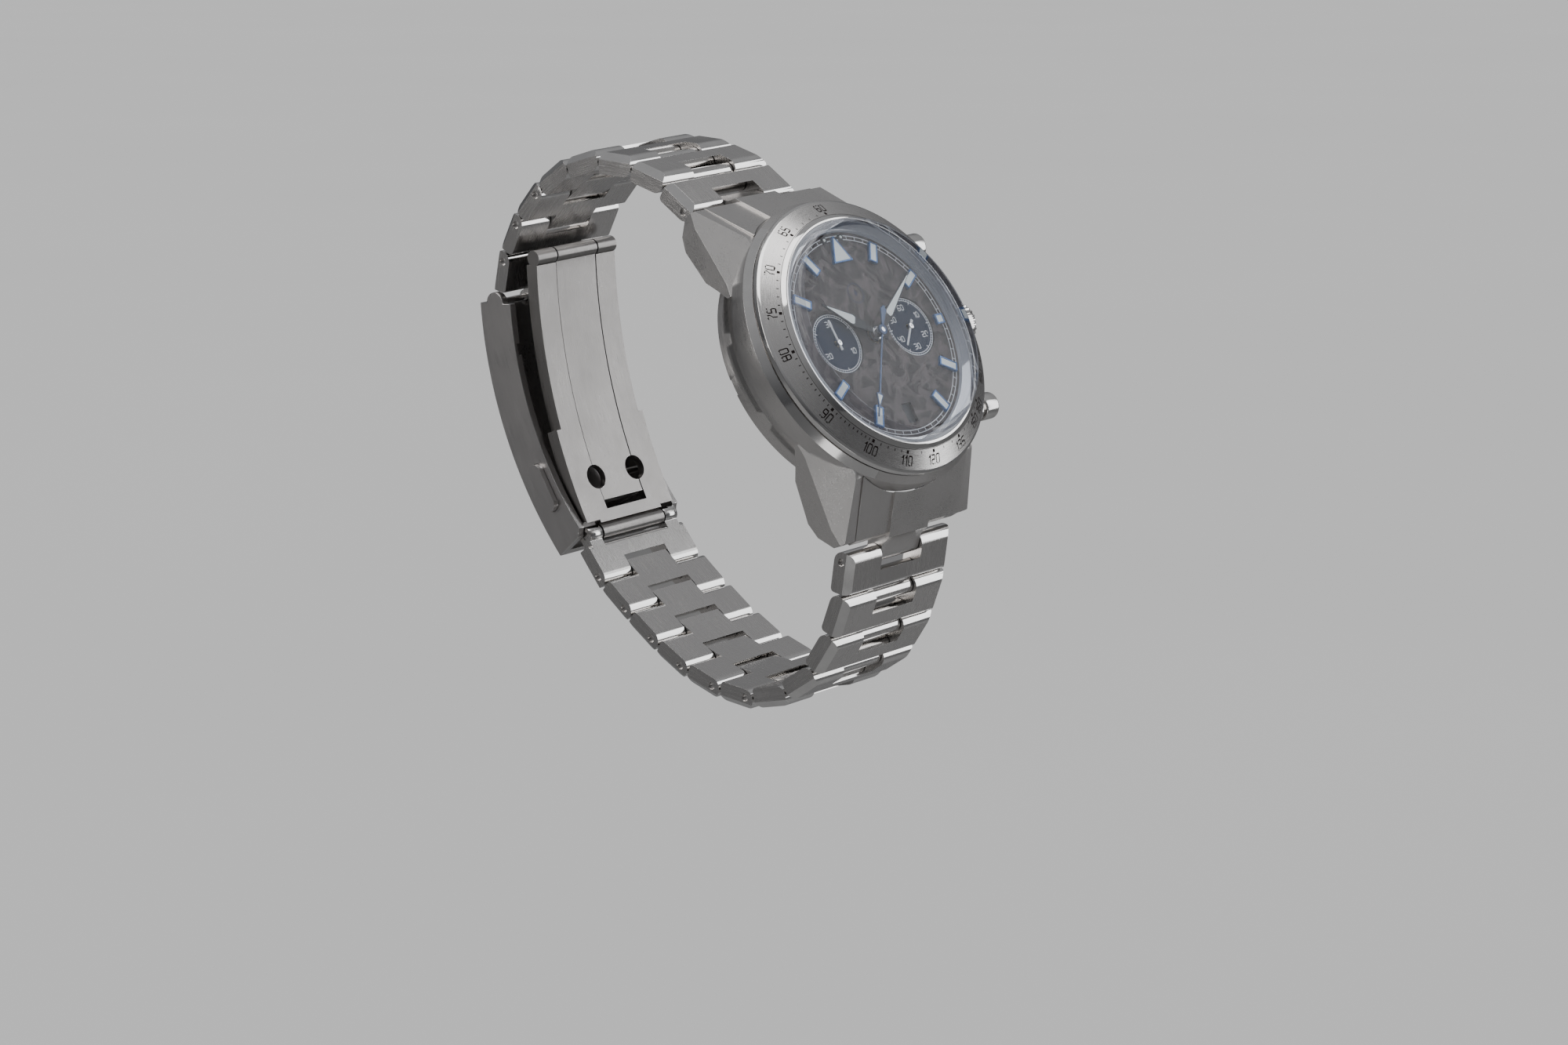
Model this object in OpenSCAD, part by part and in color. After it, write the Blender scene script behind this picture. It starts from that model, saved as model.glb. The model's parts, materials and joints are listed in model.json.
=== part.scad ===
/* [Case] */
// radius of the mid-case barrel, mm
case_r = 21.1; // [18:0.1:24]
// height of the dial surface above the case back, mm
dial_z = 10.8; // [9:0.1:13]
// overall height of the watch head, back to crystal, mm
head_z = 14.8; // [12:0.1:17]
// radius of the fixed scale ring, mm
bezel_r = 20.4; // [17:0.1:23]
// radius of the crystal, mm
crystal_r = 16.2; // [13:0.1:18]
// height of the winding stem above the case back, mm
stem_z = 5.8; // [4:0.1:8]
// gap between the lugs, mm
lug_gap = 22.1; // [18:0.1:26]
// reach of a lug tip from the dial centre, mm
lug_reach = 25.0; // [22:0.1:28]

/* [Dial] */
// radius of the dial plate, mm
dial_r = 15.7; // [13:0.1:17]
// radius at the middle of the hour batons, mm
marker_r = 13.05; // [10:0.1:14]
// distance of each small dial from the centre, mm
sub_x = 7.6; // [6:0.1:9]
// radius of a small dial, mm
sub_r = 4.45; // [3:0.05:5.5]
// middle of the date window below the dial centre, mm
date_y = 11.75; // [10:0.05:13]
// angle of the hour hand from twelve, degrees
hour_at = 304.3; // [0:0.1:360]
// angle of the minute hand from twelve, degrees
minute_at = 55.8; // [0:0.1:360]
// angle of the centre seconds hand from twelve, degrees
chrono_at = 215; // [0:1:360]
// angle of the small seconds hand from twelve, degrees
seconds_at = 222; // [0:1:360]
// angle of the minute counter hand from twelve, degrees
counter_at = 358; // [0:1:360]

/* [Crown and pushers] */
// radius of the crown, mm
crown_r = 3.0; // [2.5:0.1:4]
// inner face of the crown from the dial centre, mm
crown_x = 21.7; // [21:0.1:24]
// length of the crown, mm
crown_l = 2.7; // [2.5:0.1:5]
// height of each pusher above or below three o'clock, mm
push_y = 12.4; // [10:0.1:15]
// radius of a pusher head, mm
push_r = 1.9; // [1.4:0.05:2.6]
// inner face of a pusher head from the dial centre, mm
push_x = 19.5; // [18:0.1:22]
// length of a pusher head, mm
push_l = 2.7; // [2:0.1:5]

/* [Bracelet] */
// distance between two link pins, mm
pitch = 6.3; // [5:0.1:8]
// thickness of a link, mm
link_t = 3.0; // [2:0.1:4]
// depth of the pin below the middle of a link, mm
pin_drop = 0.25; // [0:0.05:0.6]
// width of the first link, mm
link_w = 21.8; // [18:0.1:24]
// width of the last link, mm
link_w_end = 19.8; // [16:0.1:24]
// width of the notch that takes the next link's tab, mm
notch_w = 8.6; // [6:0.1:11]
// width of the polished edge cut, mm
edge_cut = 0.95; // [0.2:0.05:1.4]
// radius of a link pin, mm
pin_r = 0.55; // [0.4:0.05:0.8]
// running gap round a pin, mm
pin_gap = 0.05; // [0.02:0.01:0.1]
// where the first pin stands behind the case back, mm
root_y = 2.1; // [1:0.1:4]
// how far the first pin stands from the dial centre, mm
root_z = 26.5; // [25:0.1:29]
// lie of each link on the twelve side, degrees from straight back
lie_12 = [64, 46, 33, 14, -4, -17, -31, -46];
// lie of each link on the six side, degrees from straight back
lie_6 = [-49, -37, -24, -2, 18, 37, 49, 60, 66, 69, 83];

/* [Clasp] */
// radius of the cover's outer face, mm
cover_r = 58.24; // [50:0.1:70]
// height of the cover's side walls, mm
cover_h = 6.0; // [4:0.1:8]
// width of the cover, mm
cover_w = 20.8; // [18:0.1:24]
// lower end of the cover, degrees round its bend
cover_a0 = -10.2; // [-14:0.1:-6]
// radius of the blades' wrist face, mm
blade_r = 77.3; // [60:0.1:90]
// thickness of a blade, mm
blade_t = 1.2; // [0.8:0.05:2]
// half width of the inner blade, mm
tongue_x = 4.05; // [3:0.05:6]
// bend angle of the blades' fold hinge, degrees
fold_a = 31.3; // [28:0.1:34]
// bend angle of the cover's blade hinge, degrees
heel_a = 5.4; // [5:0.1:7]

/* [Hidden] */
$fn = 96;
eps = 0.02;
// bend centres of the cover and of the blades, back and up, mm
cover_c = [-6.09, 5.51];
blade_c = [-32.3, -6.1];
pin_hole = pin_r + pin_gap;
link_len = pitch - 0.3;
half_t = link_t / 2;
// a lie list gives each pin in turn from the first
function walk(lies, n, start) = n == 0 ? start
    : walk(lies, n - 1, start) + pitch * [cos(lies[n - 1]), sin(lies[n - 1])];
root_12 = [root_y, root_z];
root_6 = [root_y, -root_z];
bar_at = walk(lie_12, 8, root_12);
heel_last = walk(lie_6, 10, root_6);
last_lie = lie_6[10];
last_u = [cos(last_lie), sin(last_lie)];
last_n = [sin(last_lie), -cos(last_lie)];
tube_at = heel_last + 6.2 * last_u - 0.9 * last_n;
fold_at = blade_c + (blade_r + 0.7) * [cos(fold_a), sin(fold_a)];
heel_at = blade_c + (blade_r + 3.0) * [cos(heel_a), sin(heel_a)];
latch_a = 7.2;
latch_at = blade_c + (blade_r + 3.4) * [cos(latch_a), sin(latch_a)];
button_a = -0.7;
button_rad = 54.6;
push_travel = 0.9;
steel = [0.66, 0.66, 0.67];
dark = [0.18, 0.19, 0.22];
blue = [0.10, 0.32, 0.62];
white = [0.93, 0.95, 0.95];
clear = [0.80, 0.88, 0.95, 0.35];
brass = [0.80, 0.66, 0.34];

// face: the head is drawn with the dial up and twelve o'clock along y
module face() rotate([90, 0, 0]) children();
// bar: a round bar along x, about a point given back and up
module bar(at, r, x0, x1) translate([x0, at[0], at[1]]) rotate([0, 90, 0]) cylinder(r = r, h = x1 - x0);
// side: a side outline, back and up, drawn out along x
module side(x0, x1) translate([x0, 0, 0]) rotate([90, 0, 90]) linear_extrude(x1 - x0) children();
module ring(r1, r0, z0, z1) difference() {
    translate([0, 0, z0]) cylinder(r = r1, h = z1 - z0);
    translate([0, 0, z0 - 1]) cylinder(r = r0, h = z1 - z0 + 2);
}
// clock: turns a part clockwise from twelve
module clock(a) rotate([0, 0, -a]) children();
module twin() {
    children();
    mirror([1, 0, 0]) children();
}

// ---- case
module lug_side() polygon([
    [-8.5, 11], [-8.5, 16.4], [-7.8, 18.1], [-1.9, lug_reach], [-0.2, lug_reach - 0.2],
    [0.9, 22.6], [0.9, 20.4], [-1.6, 14.8], [-5.2, 11]
]);
module lug_plan() polygon([
    [lug_gap / 2, 9], [18.6, 9.6], [17.3, 12.8], [14.5, 22.6], [13.5, lug_reach + 0.1],
    [lug_gap / 2, lug_reach + 0.1]
]);
// half: everything beyond the flat through p, on the side that n points to
module half(p, n) translate(p) rotate(a = acos(n[2] / norm(n)), v = [-n[1], n[0], 0])
    translate([-20, -20, 0]) cube([40, 40, 20]);
module lug() difference() {
    intersection() {
        side(0, 20) lug_side();
        translate([0, 5, 0]) rotate([90, 0, 0]) linear_extrude(20) lug_plan();
    }
    // the long facet between the front and the outer side
    half([13.7, -1.9, 24.0], [41.3, -32.3, 23.5]);
}
module lugs() {
    twin() lug();
    mirror([0, 0, 1]) twin() lug();
}
module mid_case() color(steel) difference() {
    union() {
        face() {
            translate([0, 0, 1.9]) cylinder(r = 19.4, h = 1.8);
            translate([0, 0, 3.7]) cylinder(r1 = 19.9, r2 = case_r, h = 2.4);
            translate([0, 0, 6.1]) cylinder(r = case_r, h = 2.3);
            translate([0, 0, 8.4]) cylinder(r1 = case_r, r2 = case_r - 0.8, h = 1.0);
            translate([0, 0, 9.39]) cylinder(r = 19.7, h = 0.35);
        }
        lugs();
    }
    face() {
        translate([0, 0, 1]) cylinder(r = 17.3, h = 1.9);
        translate([0, 0, 1]) cylinder(r = 16.2, h = 12);
        translate([15, 0, stem_z]) rotate([0, 90, 0]) cylinder(r = 1.55, h = 10);
        for (s = [-1, 1])
            translate([13, s * push_y, stem_z]) rotate([0, 90, 0]) cylinder(r = 1.55, h = 12);
        // flat seats for the pusher tubes' flanges
        for (s = [-1, 1])
            translate([17.28, s * push_y, stem_z]) rotate([0, 90, 0]) cylinder(r = 2.03, h = 8);
        // seat for the case back between the lugs
        translate([0, 0, -3]) cylinder(r = 19.25, h = 4.89);
    }
    for (s = [-1, 1])
        bar([-2.6, s * 22.3], 0.8, -12.6, 12.6);
}
module case_back() color(steel) face() difference() {
    union() {
        cylinder(r1 = 17.8, r2 = 18.4, h = 0.6);
        translate([0, 0, 0.6]) cylinder(r = 19.2, h = 1.28);
        translate([0, 0, 1.86]) cylinder(r = 17.2, h = 0.6);
    }
    translate([0, 0, 1.2]) cylinder(r = 15.9, h = 2);
    for (a = [0 : 60 : 300])
        rotate([0, 0, a]) translate([17.9, -1.1, -1]) cube([3, 2.2, 1.75]);
}
module back_gasket() color(dark) face() ring(17.15, 16.3, 2.49, 2.87);
module bezel() color(steel) face() difference() {
    union() {
        translate([0, 0, 9.76]) cylinder(r = bezel_r, h = 0.72);
        translate([0, 0, 10.48]) cylinder(r1 = bezel_r, r2 = bezel_r - 0.32, h = 0.22);
        translate([0, 0, 10.7]) cylinder(r1 = bezel_r - 0.36, r2 = 17.5, h = 1.35);
        translate([0, 0, 12.05]) cylinder(r1 = 17.5, r2 = 16.9, h = 0.45);
    }
    translate([0, 0, 9]) cylinder(r = 16.6, h = 4);
}
module crystal() color(clear) face() difference() {
    union() {
        translate([0, 0, 11.3]) cylinder(r = crystal_r, h = 2.7);
        translate([0, 0, 14.0]) cylinder(r1 = crystal_r, r2 = crystal_r - 0.7, h = 0.4);
        // a low dome in three steps
        translate([0, 0, 14.39]) cylinder(r1 = crystal_r - 0.7, r2 = 12.5, h = head_z - 14.54);
        translate([0, 0, head_z - 0.16]) cylinder(r1 = 12.5, r2 = 7.5, h = 0.11);
        translate([0, 0, head_z - 0.06]) cylinder(r1 = 7.5, r2 = 2.0, h = 0.06);
    }
    translate([0, 0, 11]) cylinder(r = 15.45, h = 2.7);
    translate([0, 0, 13.7]) cylinder(r1 = 15.45, r2 = 15.05, h = 0.2);
}
module crystal_gasket() color(white) face() ring(16.59, 16.21, 10.6, 12.4);
module rehaut() color(dark) face() difference() {
    translate([0, 0, 10.82]) cylinder(r = 16.15, h = 0.46);
    translate([0, 0, 10.8]) cylinder(r1 = 15.35, r2 = 15.6, h = 0.5);
}

// ---- dial and hands
module dial() color(dark) face() difference() {
    translate([0, 0, dial_z - 0.4]) cylinder(r = dial_r, h = 0.4);
    translate([0, 0, 9]) cylinder(r = 1.3, h = 3);
    for (s = [-1, 1])
        translate([s * sub_x, 0, 9]) cylinder(r = sub_r, h = 3);
    translate([-0.98, -date_y - 1.45, 9]) cube([1.96, 2.9, 3]);
}
module subdials() color(blue) face() for (s = [-1, 1]) translate([s * sub_x, 0, 0])
    difference() {
        ring(sub_r - 0.02, 0.45, dial_z - 0.38, dial_z - 0.18);
        translate([0, 0, dial_z - 0.24]) ring(sub_r - 0.5, 3.2, 0, 1);
    }
// baton: a framed block with a lume fill, standing on the dial
module baton(r, w, l, wall) translate([0, r, dial_z + eps]) {
    difference() {
        translate([-w / 2, -l / 2, 0]) cube([w, l, 0.45]);
        translate([-w / 2 + wall, -l / 2 + wall, 0.15]) cube([w - 2 * wall, l - 2 * wall, 1]);
    }
    translate([-w / 2 + wall + eps, -l / 2 + wall + eps, 0.17])
        cube([w - 2 * wall - 2 * eps, l - 2 * wall - 2 * eps, 0.26]);
}
module wedge_outline(d) polygon([
    [0, 14.75 - 2.4 * d], [-1.95 + 1.45 * d, 10.85 + d], [1.95 - 1.45 * d, 10.85 + d]
]);
module hour_markers() color(blue) face() {
    for (h = [1, 2, 4, 5, 7, 8, 10, 11])
        clock(h * 30) baton(marker_r, 1.4, 3.1, 0.22);
    clock(90) baton(13.6, 1.5, 1.6, 0.25);
    translate([0, 0, dial_z + eps]) difference() {
        linear_extrude(0.45) wedge_outline(0);
        translate([0, 0, 0.15]) linear_extrude(1) wedge_outline(0.25);
    }
    translate([0, 0, dial_z + 0.17 + eps]) linear_extrude(0.26) wedge_outline(0.29);
    for (s = [-1, 1])
        clock(s * 6.8) translate([0, 14.55, dial_z + eps]) cylinder(r = 0.5, h = 0.3);
}
module date_disc() color(dark) face() ring(14.3, 9.4, 10.05, 10.3);
module hand_outline(l, w, neck, back) polygon([
    [-0.35, -back], [0.35, -back], [neck, neck * 2.2], [w / 2, l * 0.32], [0.16, l],
    [-0.16, l], [-w / 2, l * 0.32], [-neck, neck * 2.2]
]);
module hour_hand() color(dark) face() clock(hour_at) difference() {
    union() {
        translate([0, 0, 11.35]) linear_extrude(0.25) hand_outline(9.9, 1.9, 0.42, 1.9);
        translate([0, 0, 10.15]) cylinder(r = 0.95, h = 1.45);
    }
    translate([0, 0, 10]) cylinder(r = 0.77, h = 2);
}
module minute_hand() color(dark) face() clock(minute_at) difference() {
    union() {
        translate([0, 0, 11.85]) linear_extrude(0.25) hand_outline(12.9, 1.7, 0.42, 1.9);
        translate([0, 0, 9.95]) cylinder(r = 0.71, h = 2.15);
    }
    translate([0, 0, 9]) cylinder(r = 0.44, h = 4);
}
module chrono_hand() color(blue) face() clock(chrono_at) {
    translate([0, 0, 12.35]) linear_extrude(0.2) polygon([
        [-0.14, -0.6], [-0.5, -3.4], [0, -4.1], [0.5, -3.4], [0.14, -0.6], [0.13, 10.3],
        [0.62, 10.5], [0.1, 12.6], [0.08, 14.1], [-0.08, 14.1], [-0.1, 12.6], [-0.62, 10.5],
        [-0.13, 10.3]
    ]);
    translate([0, 0, 9.2]) cylinder(r = 0.38, h = 3.5);
    translate([0, 0, 12.3]) cylinder(r = 0.75, h = 0.35);
}
module small_hand(x, a, l) translate([x, 0, 0]) clock(a) {
    translate([0, 0, 10.9]) linear_extrude(0.14) polygon([
        [-0.2, -1.1], [0.2, -1.1], [0.15, 0], [0.13, l], [-0.13, l], [-0.15, 0]
    ]);
    translate([0, 0, 9.95]) cylinder(r = 0.32, h = 1.2);
    translate([0, 0, 10.85]) cylinder(r = 0.45, h = 0.3);
}
module seconds_hand() color(white) face() small_hand(sub_x, seconds_at, 3.4);
module counter_hand() color(white) face() small_hand(-sub_x, counter_at, 3.4);

// ---- movement, sealed inside
module movement_ring() color(brass) face() difference() {
    ring(16.1, 15.0, 2.95, 10.35);
    translate([13, 0, stem_z]) rotate([0, 90, 0]) cylinder(r = 1.0, h = 5);
    for (s = [-1, 1])
        translate([8, s * push_y, stem_z]) rotate([0, 90, 0]) cylinder(r = 1.2, h = 9);
}
module mainplate() color(brass) face() difference() {
    translate([0, 0, 8.6]) cylinder(r = 14.9, h = 1.3);
    translate([0, 0, 8]) cylinder(r = 0.46, h = 4);
    translate([0, 0, 9.5]) cylinder(r = 1.25, h = 1);
    for (s = [-1, 1])
        translate([s * sub_x, 0, 9.5]) cylinder(r = 0.8, h = 1);
}
module bridges() color(steel) face() difference() {
    union() {
        intersection() {
            translate([0, 0, 4.5]) cylinder(r = 14.8, h = 4.05);
            translate([-15, -15, 0]) cube([22, 30, 12]);
        }
        translate([0, 0, 2.95]) cylinder(r = 1.4, h = 1.7);
    }
    translate([-6.4, 6.2, 4]) cylinder(r = 5.1, h = 3.8);
    translate([-5.2, -7.2, 4]) cylinder(r = 4.7, h = 3.4);
}
module rotor() color(brass) face() difference() {
    union() {
        intersection() {
            translate([0, 0, 3.4]) cylinder(r = 14.6, h = 0.5);
            translate([-15, -15, 0]) cube([30, 15, 9]);
        }
        intersection() {
            ring(14.6, 12.4, 3.0, 4.35);
            translate([-15, -15, 0]) cube([30, 14.5, 9]);
        }
        translate([0, 0, 3.2]) cylinder(r = 2.6, h = 0.9);
    }
    translate([0, 0, 2]) cylinder(r = 1.46, h = 4);
}
module barrel() color(brass) face() translate([-6.4, 6.2, 4.9]) {
    cylinder(r = 4.7, h = 2.4);
    cylinder(r = 0.9, h = 2.8);
}
module balance() color(brass) face() translate([-5.2, -7.2, 5.0]) {
    difference() {
        cylinder(r = 4.3, h = 0.8);
        translate([0, 0, -1]) ring(3.6, 0.9, 0, 3);
    }
    translate([-3.8, -0.35, 0.15]) cube([7.6, 0.7, 0.5]);
    cylinder(r = 0.4, h = 2.2);
}

// ---- crown and pushers, drawn along x from the dial centre
module stem_pinion() color(brass) face() translate([8.2, 0, stem_z]) rotate([0, 90, 0])
    difference() {
        cylinder(r = 1.25, h = 2.6);
        translate([0, 0, -1]) cylinder(r = 0.68, h = 5);
        for (a = [0 : 45 : 315])
            rotate([0, 0, a]) translate([1.05, -0.18, -1]) cube([1, 0.36, 2]);
    }
module crown() color(steel) face() translate([0, 0, stem_z]) rotate([0, 90, 0]) difference() {
    union() {
        translate([0, 0, crown_x]) cylinder(r1 = crown_r - 0.3, r2 = crown_r, h = 0.3);
        translate([0, 0, crown_x + 0.3]) cylinder(r = crown_r, h = crown_l - 0.7);
        translate([0, 0, crown_x + crown_l - 0.4])
            cylinder(r1 = crown_r, r2 = crown_r - 0.5, h = 0.4);
        translate([0, 0, 7.4]) cylinder(r = 0.62, h = crown_x - 6);
    }
    difference() {
        translate([0, 0, crown_x - 0.1]) cylinder(r = 1.75, h = 1.9);
        translate([0, 0, crown_x - 1]) cylinder(r = 0.62, h = 4);
    }
    for (a = [0 : 15 : 345])
        rotate([0, 0, a]) translate([crown_r - 0.22, -0.2, crown_x - 1])
            cube([1, 0.4, crown_l + 0.6]);
}
module crown_tube() color(steel) face() translate([0, 0, stem_z]) rotate([0, 90, 0])
    difference() {
        union() {
            translate([0, 0, 16.3]) cylinder(r = 1.54, h = 5.2);
            translate([0, 0, 21.2]) cylinder(r = 1.45, h = 1.1);
        }
        translate([0, 0, 15]) cylinder(r = 0.68, h = 9);
    }
module pusher() rotate([0, 90, 0]) {
    translate([0, 0, push_x]) cylinder(r = push_r, h = push_l - 0.25);
    translate([0, 0, push_x + push_l - 0.26]) cylinder(r1 = push_r, r2 = push_r - 0.25, h = 0.25);
    translate([0, 0, 14.4]) cylinder(r = 1.2, h = push_x - 14.2);
}
module pusher_2() color(steel) face() translate([0, push_y, stem_z]) pusher();
module pusher_4() color(steel) face() translate([0, -push_y, stem_z]) pusher();
module pusher_tubes() color(steel) face() for (s = [-1, 1])
    translate([0, s * push_y, stem_z]) rotate([0, 90, 0]) difference() {
        union() {
            translate([0, 0, 13.2]) cylinder(r = 1.54, h = 4.6);
            translate([0, 0, 17.3]) cylinder(r = 2.0, h = 1.2);
        }
        translate([0, 0, 12]) cylinder(r = 1.26, h = 9);
    }

// ---- solid end links, drawn for the twelve side
module end_link() difference() {
    union() {
        side(-lug_gap / 2 + 0.05, lug_gap / 2 - 0.05) polygon([
            [-8.3, 15.5], [-8.3, 17.9], [-1.9, 25.1], [-0.6, 25.1], [0.5, 23.6], [0.5, 15.5]
        ]);
        // the raised middle runs down into the tab
        side(-notch_w / 2 + 0.15, notch_w / 2 - 0.15) polygon([
            [-8.6, 15.5], [-8.6, 18.0], [-1.7, 25.8], [0.4, 26.2], [0.6, 23.2], [-1, 18]
        ]);
        bar(root_12, 1.2, -notch_w / 2 + 0.15, notch_w / 2 - 0.15);
        side(-notch_w / 2 + 0.15, notch_w / 2 - 0.15) polygon([
            [-0.8, 25.6], [root_y - 0.92, root_z + 0.77], [root_y + 0.92, root_z - 0.77],
            [0.4, 22.8]
        ]);
    }
    face() translate([0, 0, -3]) cylinder(r = case_r + 0.06, h = 20);
    bar(root_12, pin_hole, -20, 20);
    bar([-2.6, 22.3], 0.8, -20, 20);
}
module end_link_12() color(steel) end_link();
module end_link_6() color(steel) mirror([0, 0, 1]) end_link();
module lug_bars() color(steel) for (s = [-1, 1])
    bar([-2.6, s * 22.3], 0.75, -12.4, 12.4);

// ---- links: u runs to the clasp, n away from the wrist, the pin is at the origin
module strip(u0, u1, x0, x1, n0, n1) translate([x0, u0, n0]) cube([x1 - x0, u1 - u0, n1 - n0]);
module link_block(w) {
    difference() {
        union() {
            bar([0, pin_drop], half_t, -w / 2, w / 2);
            strip(0, link_len - half_t - 0.6, -w / 2, w / 2, pin_drop - half_t, pin_drop + half_t);
            // the clasp end keeps a small round at each corner
            for (s = [-1, 1])
                bar([link_len - half_t - 0.6, pin_drop + s * (half_t - 0.6)], 0.6, -w / 2, w / 2);
            strip(0, link_len - half_t, -w / 2, w / 2, pin_drop - half_t + 0.6,
                pin_drop + half_t - 0.6);
        }
        // polished cuts along both outer edges
        twin() translate([w / 2, 0, pin_drop + half_t]) rotate([0, 45, 0])
            cube([edge_cut * 1.4142, 30, edge_cut * 1.4142], center = true);
    }
}
module tab(w) difference() {
    union() {
        bar([pitch, 0], 1.15, -w / 2, w / 2);
        strip(link_len - half_t - 1, pitch, -w / 2, w / 2, pin_drop - half_t, 0.55);
        strip(pitch - 0.1, pitch + 0.75, -w / 2, w / 2, pin_drop - half_t, 0);
    }
    bar([pitch, 0], pin_hole, -20, 20);
}
module link_body(w, blind) difference() {
    union() {
        difference() {
            link_block(w);
            strip(-9, 1.8, -notch_w / 2, notch_w / 2, -5, 5);
        }
        tab(notch_w - 0.3);
    }
    bar([0, 0], pin_r + 0.015, blind ? -w / 2 + 1.2 : -20, 20);
}
module link_pin(w, blind) bar([0, 0], pin_r, blind ? -w / 2 + 1.25 : -w / 2 + 0.35, w / 2 - 0.35);
// last link: notched at both ends, the clasp end takes the blade's tube
module last_link(w) {
    difference() {
        union() {
            difference() {
                link_block(w);
                strip(-9, 1.8, -notch_w / 2, notch_w / 2, -5, 5);
            }
            twin() bar([6.2, -0.9], 1.2, 6.65, 9.15);
            twin() strip(3.4, 6.2, 6.65, 9.15, -1.25, 0.29);
        }
        bar([0, 0], pin_r + 0.015, -20, 20);
        bar([6.2, -0.9], 1.75, -6.65, 6.65);
        bar([6.2, -0.9], 0.615, -20, 20);
    }
    bar([6.2, -0.9], 0.6, -9.0, 9.0);
    link_pin(w, false);
}
function width(k, n) = link_w - (link_w - link_w_end) * (k - 1) / (n - 1);
module seat_12(k) translate([0, walk(lie_12, k - 1, root_12)[0], walk(lie_12, k - 1, root_12)[1]])
    rotate([lie_12[k - 1], 0, 0]) children();
module seat_6(k) translate([0, walk(lie_6, k - 1, root_6)[0], walk(lie_6, k - 1, root_6)[1]])
    rotate([lie_6[k - 1], 0, 0]) rotate([0, 180, 0]) children();
module l12(k) color(steel) seat_12(k) {
    link_body(width(k, 8), k > 1 && k < 6);
    link_pin(width(k, 8), k > 1 && k < 6);
}
module l6(k) color(steel) seat_6(k) {
    mirror([1, 0, 0]) link_body(width(k, 11), k > 1 && k < 6);
    mirror([1, 0, 0]) link_pin(width(k, 11), k > 1 && k < 6);
}
module link12_1() l12(1);
module link12_2() l12(2);
module link12_3() l12(3);
module link12_4() l12(4);
module link12_5() l12(5);
module link12_6() l12(6);
module link12_7() l12(7);
module link12_8() l12(8);
module link6_1() l6(1);
module link6_2() l6(2);
module link6_3() l6(3);
module link6_4() l6(4);
module link6_5() l6(5);
module link6_6() l6(6);
module link6_7() l6(7);
module link6_8() l6(8);
module link6_9() l6(9);
module link6_10() l6(10);
module link6_11() color(steel) seat_6(11) last_link(link_w_end);

// ---- clasp, bent round centres given back and up
module bend(c, r1, r0, x0, x1) difference() {
    bar(c, r1, x0, x1);
    bar(c, r0, x0 - 1, x1 + 1);
}
// slice: the part of a bend between two angles
module slice(c, a0, a1, x0, x1) side(x0, x1) polygon([
    c, c + 120 * [cos(a0), sin(a0)], c + 120 * [cos((a0 + a1) / 2), sin((a0 + a1) / 2)],
    c + 120 * [cos(a1), sin(a1)]
]);
bar_a = atan2(bar_at[1] - cover_c[1], bar_at[0] - cover_c[0]);
module button_plan(grow) {
    r = 1.25 + grow;
    translate([-2.4, 0]) circle(r = r);
    translate([2.4, 0]) circle(r = r);
    translate([-2.4, -r]) square([4.8, 2 * r]);
}
// button_seat: x along the wrist axis becomes the local z
module button_seat() translate([0, cover_c[0] + button_rad * cos(button_a), cover_c[1] + button_rad * sin(button_a)])
    rotate([button_a, 0, 0]) rotate([0, 90, 0]) children();
module clasp_cover() color(steel) {
    difference() {
        union() {
            intersection() {
                union() {
                    bend(cover_c, cover_r, cover_r - 1.2, -cover_w / 2, cover_w / 2);
                    twin() bend(cover_c, cover_r, cover_r - cover_h, cover_w / 2 - 1.1, cover_w / 2);
                }
                slice(cover_c, cover_a0, bar_a, -30, 30);
            }
            twin() bar(bar_at, 1.6, cover_w / 2 - 1.1, cover_w / 2);
            // ears for the inner blade
            intersection() {
                twin() side(4.35, 5.9) polygon([
                    heel_at + [-0.4, -1.15], heel_at + [6, -1.15], heel_at + [6, 1.15],
                    heel_at + [-0.4, 1.15]
                ]);
                bar(cover_c, cover_r - 0.6, -30, 30);
            }
            twin() bar(heel_at, 1.15, 4.35, 5.9);
        }
        // scooped lower end
        bar(cover_c + 51.6 * [cos(cover_a0 - 1.0), sin(cover_a0 - 1.0)], 1.9, -20, 20);
        twin() bar(bar_at, 0.815, 8, 9.95);
        bar(heel_at, 0.615, -5.6, 5.6);
        twin() button_seat() translate([0, 0, 8]) linear_extrude(6) button_plan(0.06);
        // adjusting slots in the wrist edge of the side walls
        twin() intersection() {
            bend(cover_c, cover_r - cover_h + 1.3, cover_r - cover_h - 1, cover_w / 2 - 1.7, cover_w / 2 - 0.5);
            slice(cover_c, 20.0, 21.8, -30, 30);
        }
    }
    bar(heel_at, 0.6, -5.55, 5.55);
}
module clasp_bar() color(steel) bar(bar_at, 0.55, -9.7, 9.7);
module rail(x0, x1) bend(blade_c, blade_r + 2.0, blade_r, x0, x1);
module blade_outer() color(steel) {
    difference() {
        union() {
            intersection() {
                union() {
                    bend(blade_c, blade_r + blade_t, blade_r, -9.0, 9.0);
                    twin() rail(7.9, 9.0);
                }
                slice(blade_c, 2.3, 13.0, -30, 30);
            }
            intersection() {
                union() {
                    bend(blade_c, blade_r + blade_t, blade_r, -8.1, 8.1);
                    twin() rail(7.1, 8.1);
                }
                slice(blade_c, 12.9, fold_a - 0.75, -30, 30);
            }
            bar(tube_at, 1.25, -6.35, 6.35);
            twin() bar(fold_at, 1.15, tongue_x + 0.25, 8.1);
        }
        // slot for the inner blade
        intersection() {
            bend(blade_c, blade_r + 5, blade_r - 5, -tongue_x - 0.12, tongue_x + 0.12);
            slice(blade_c, 3.6, 40, -30, 30);
        }
        windows();
        bar(tube_at, 0.65, -20, 20);
        bar(fold_at, 0.615, -7.8, 7.8);
        twin() bar(tube_at, 2.0, 6.35, 10);
    }
    bar(fold_at, 0.6, -7.75, 7.75);
}
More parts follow.
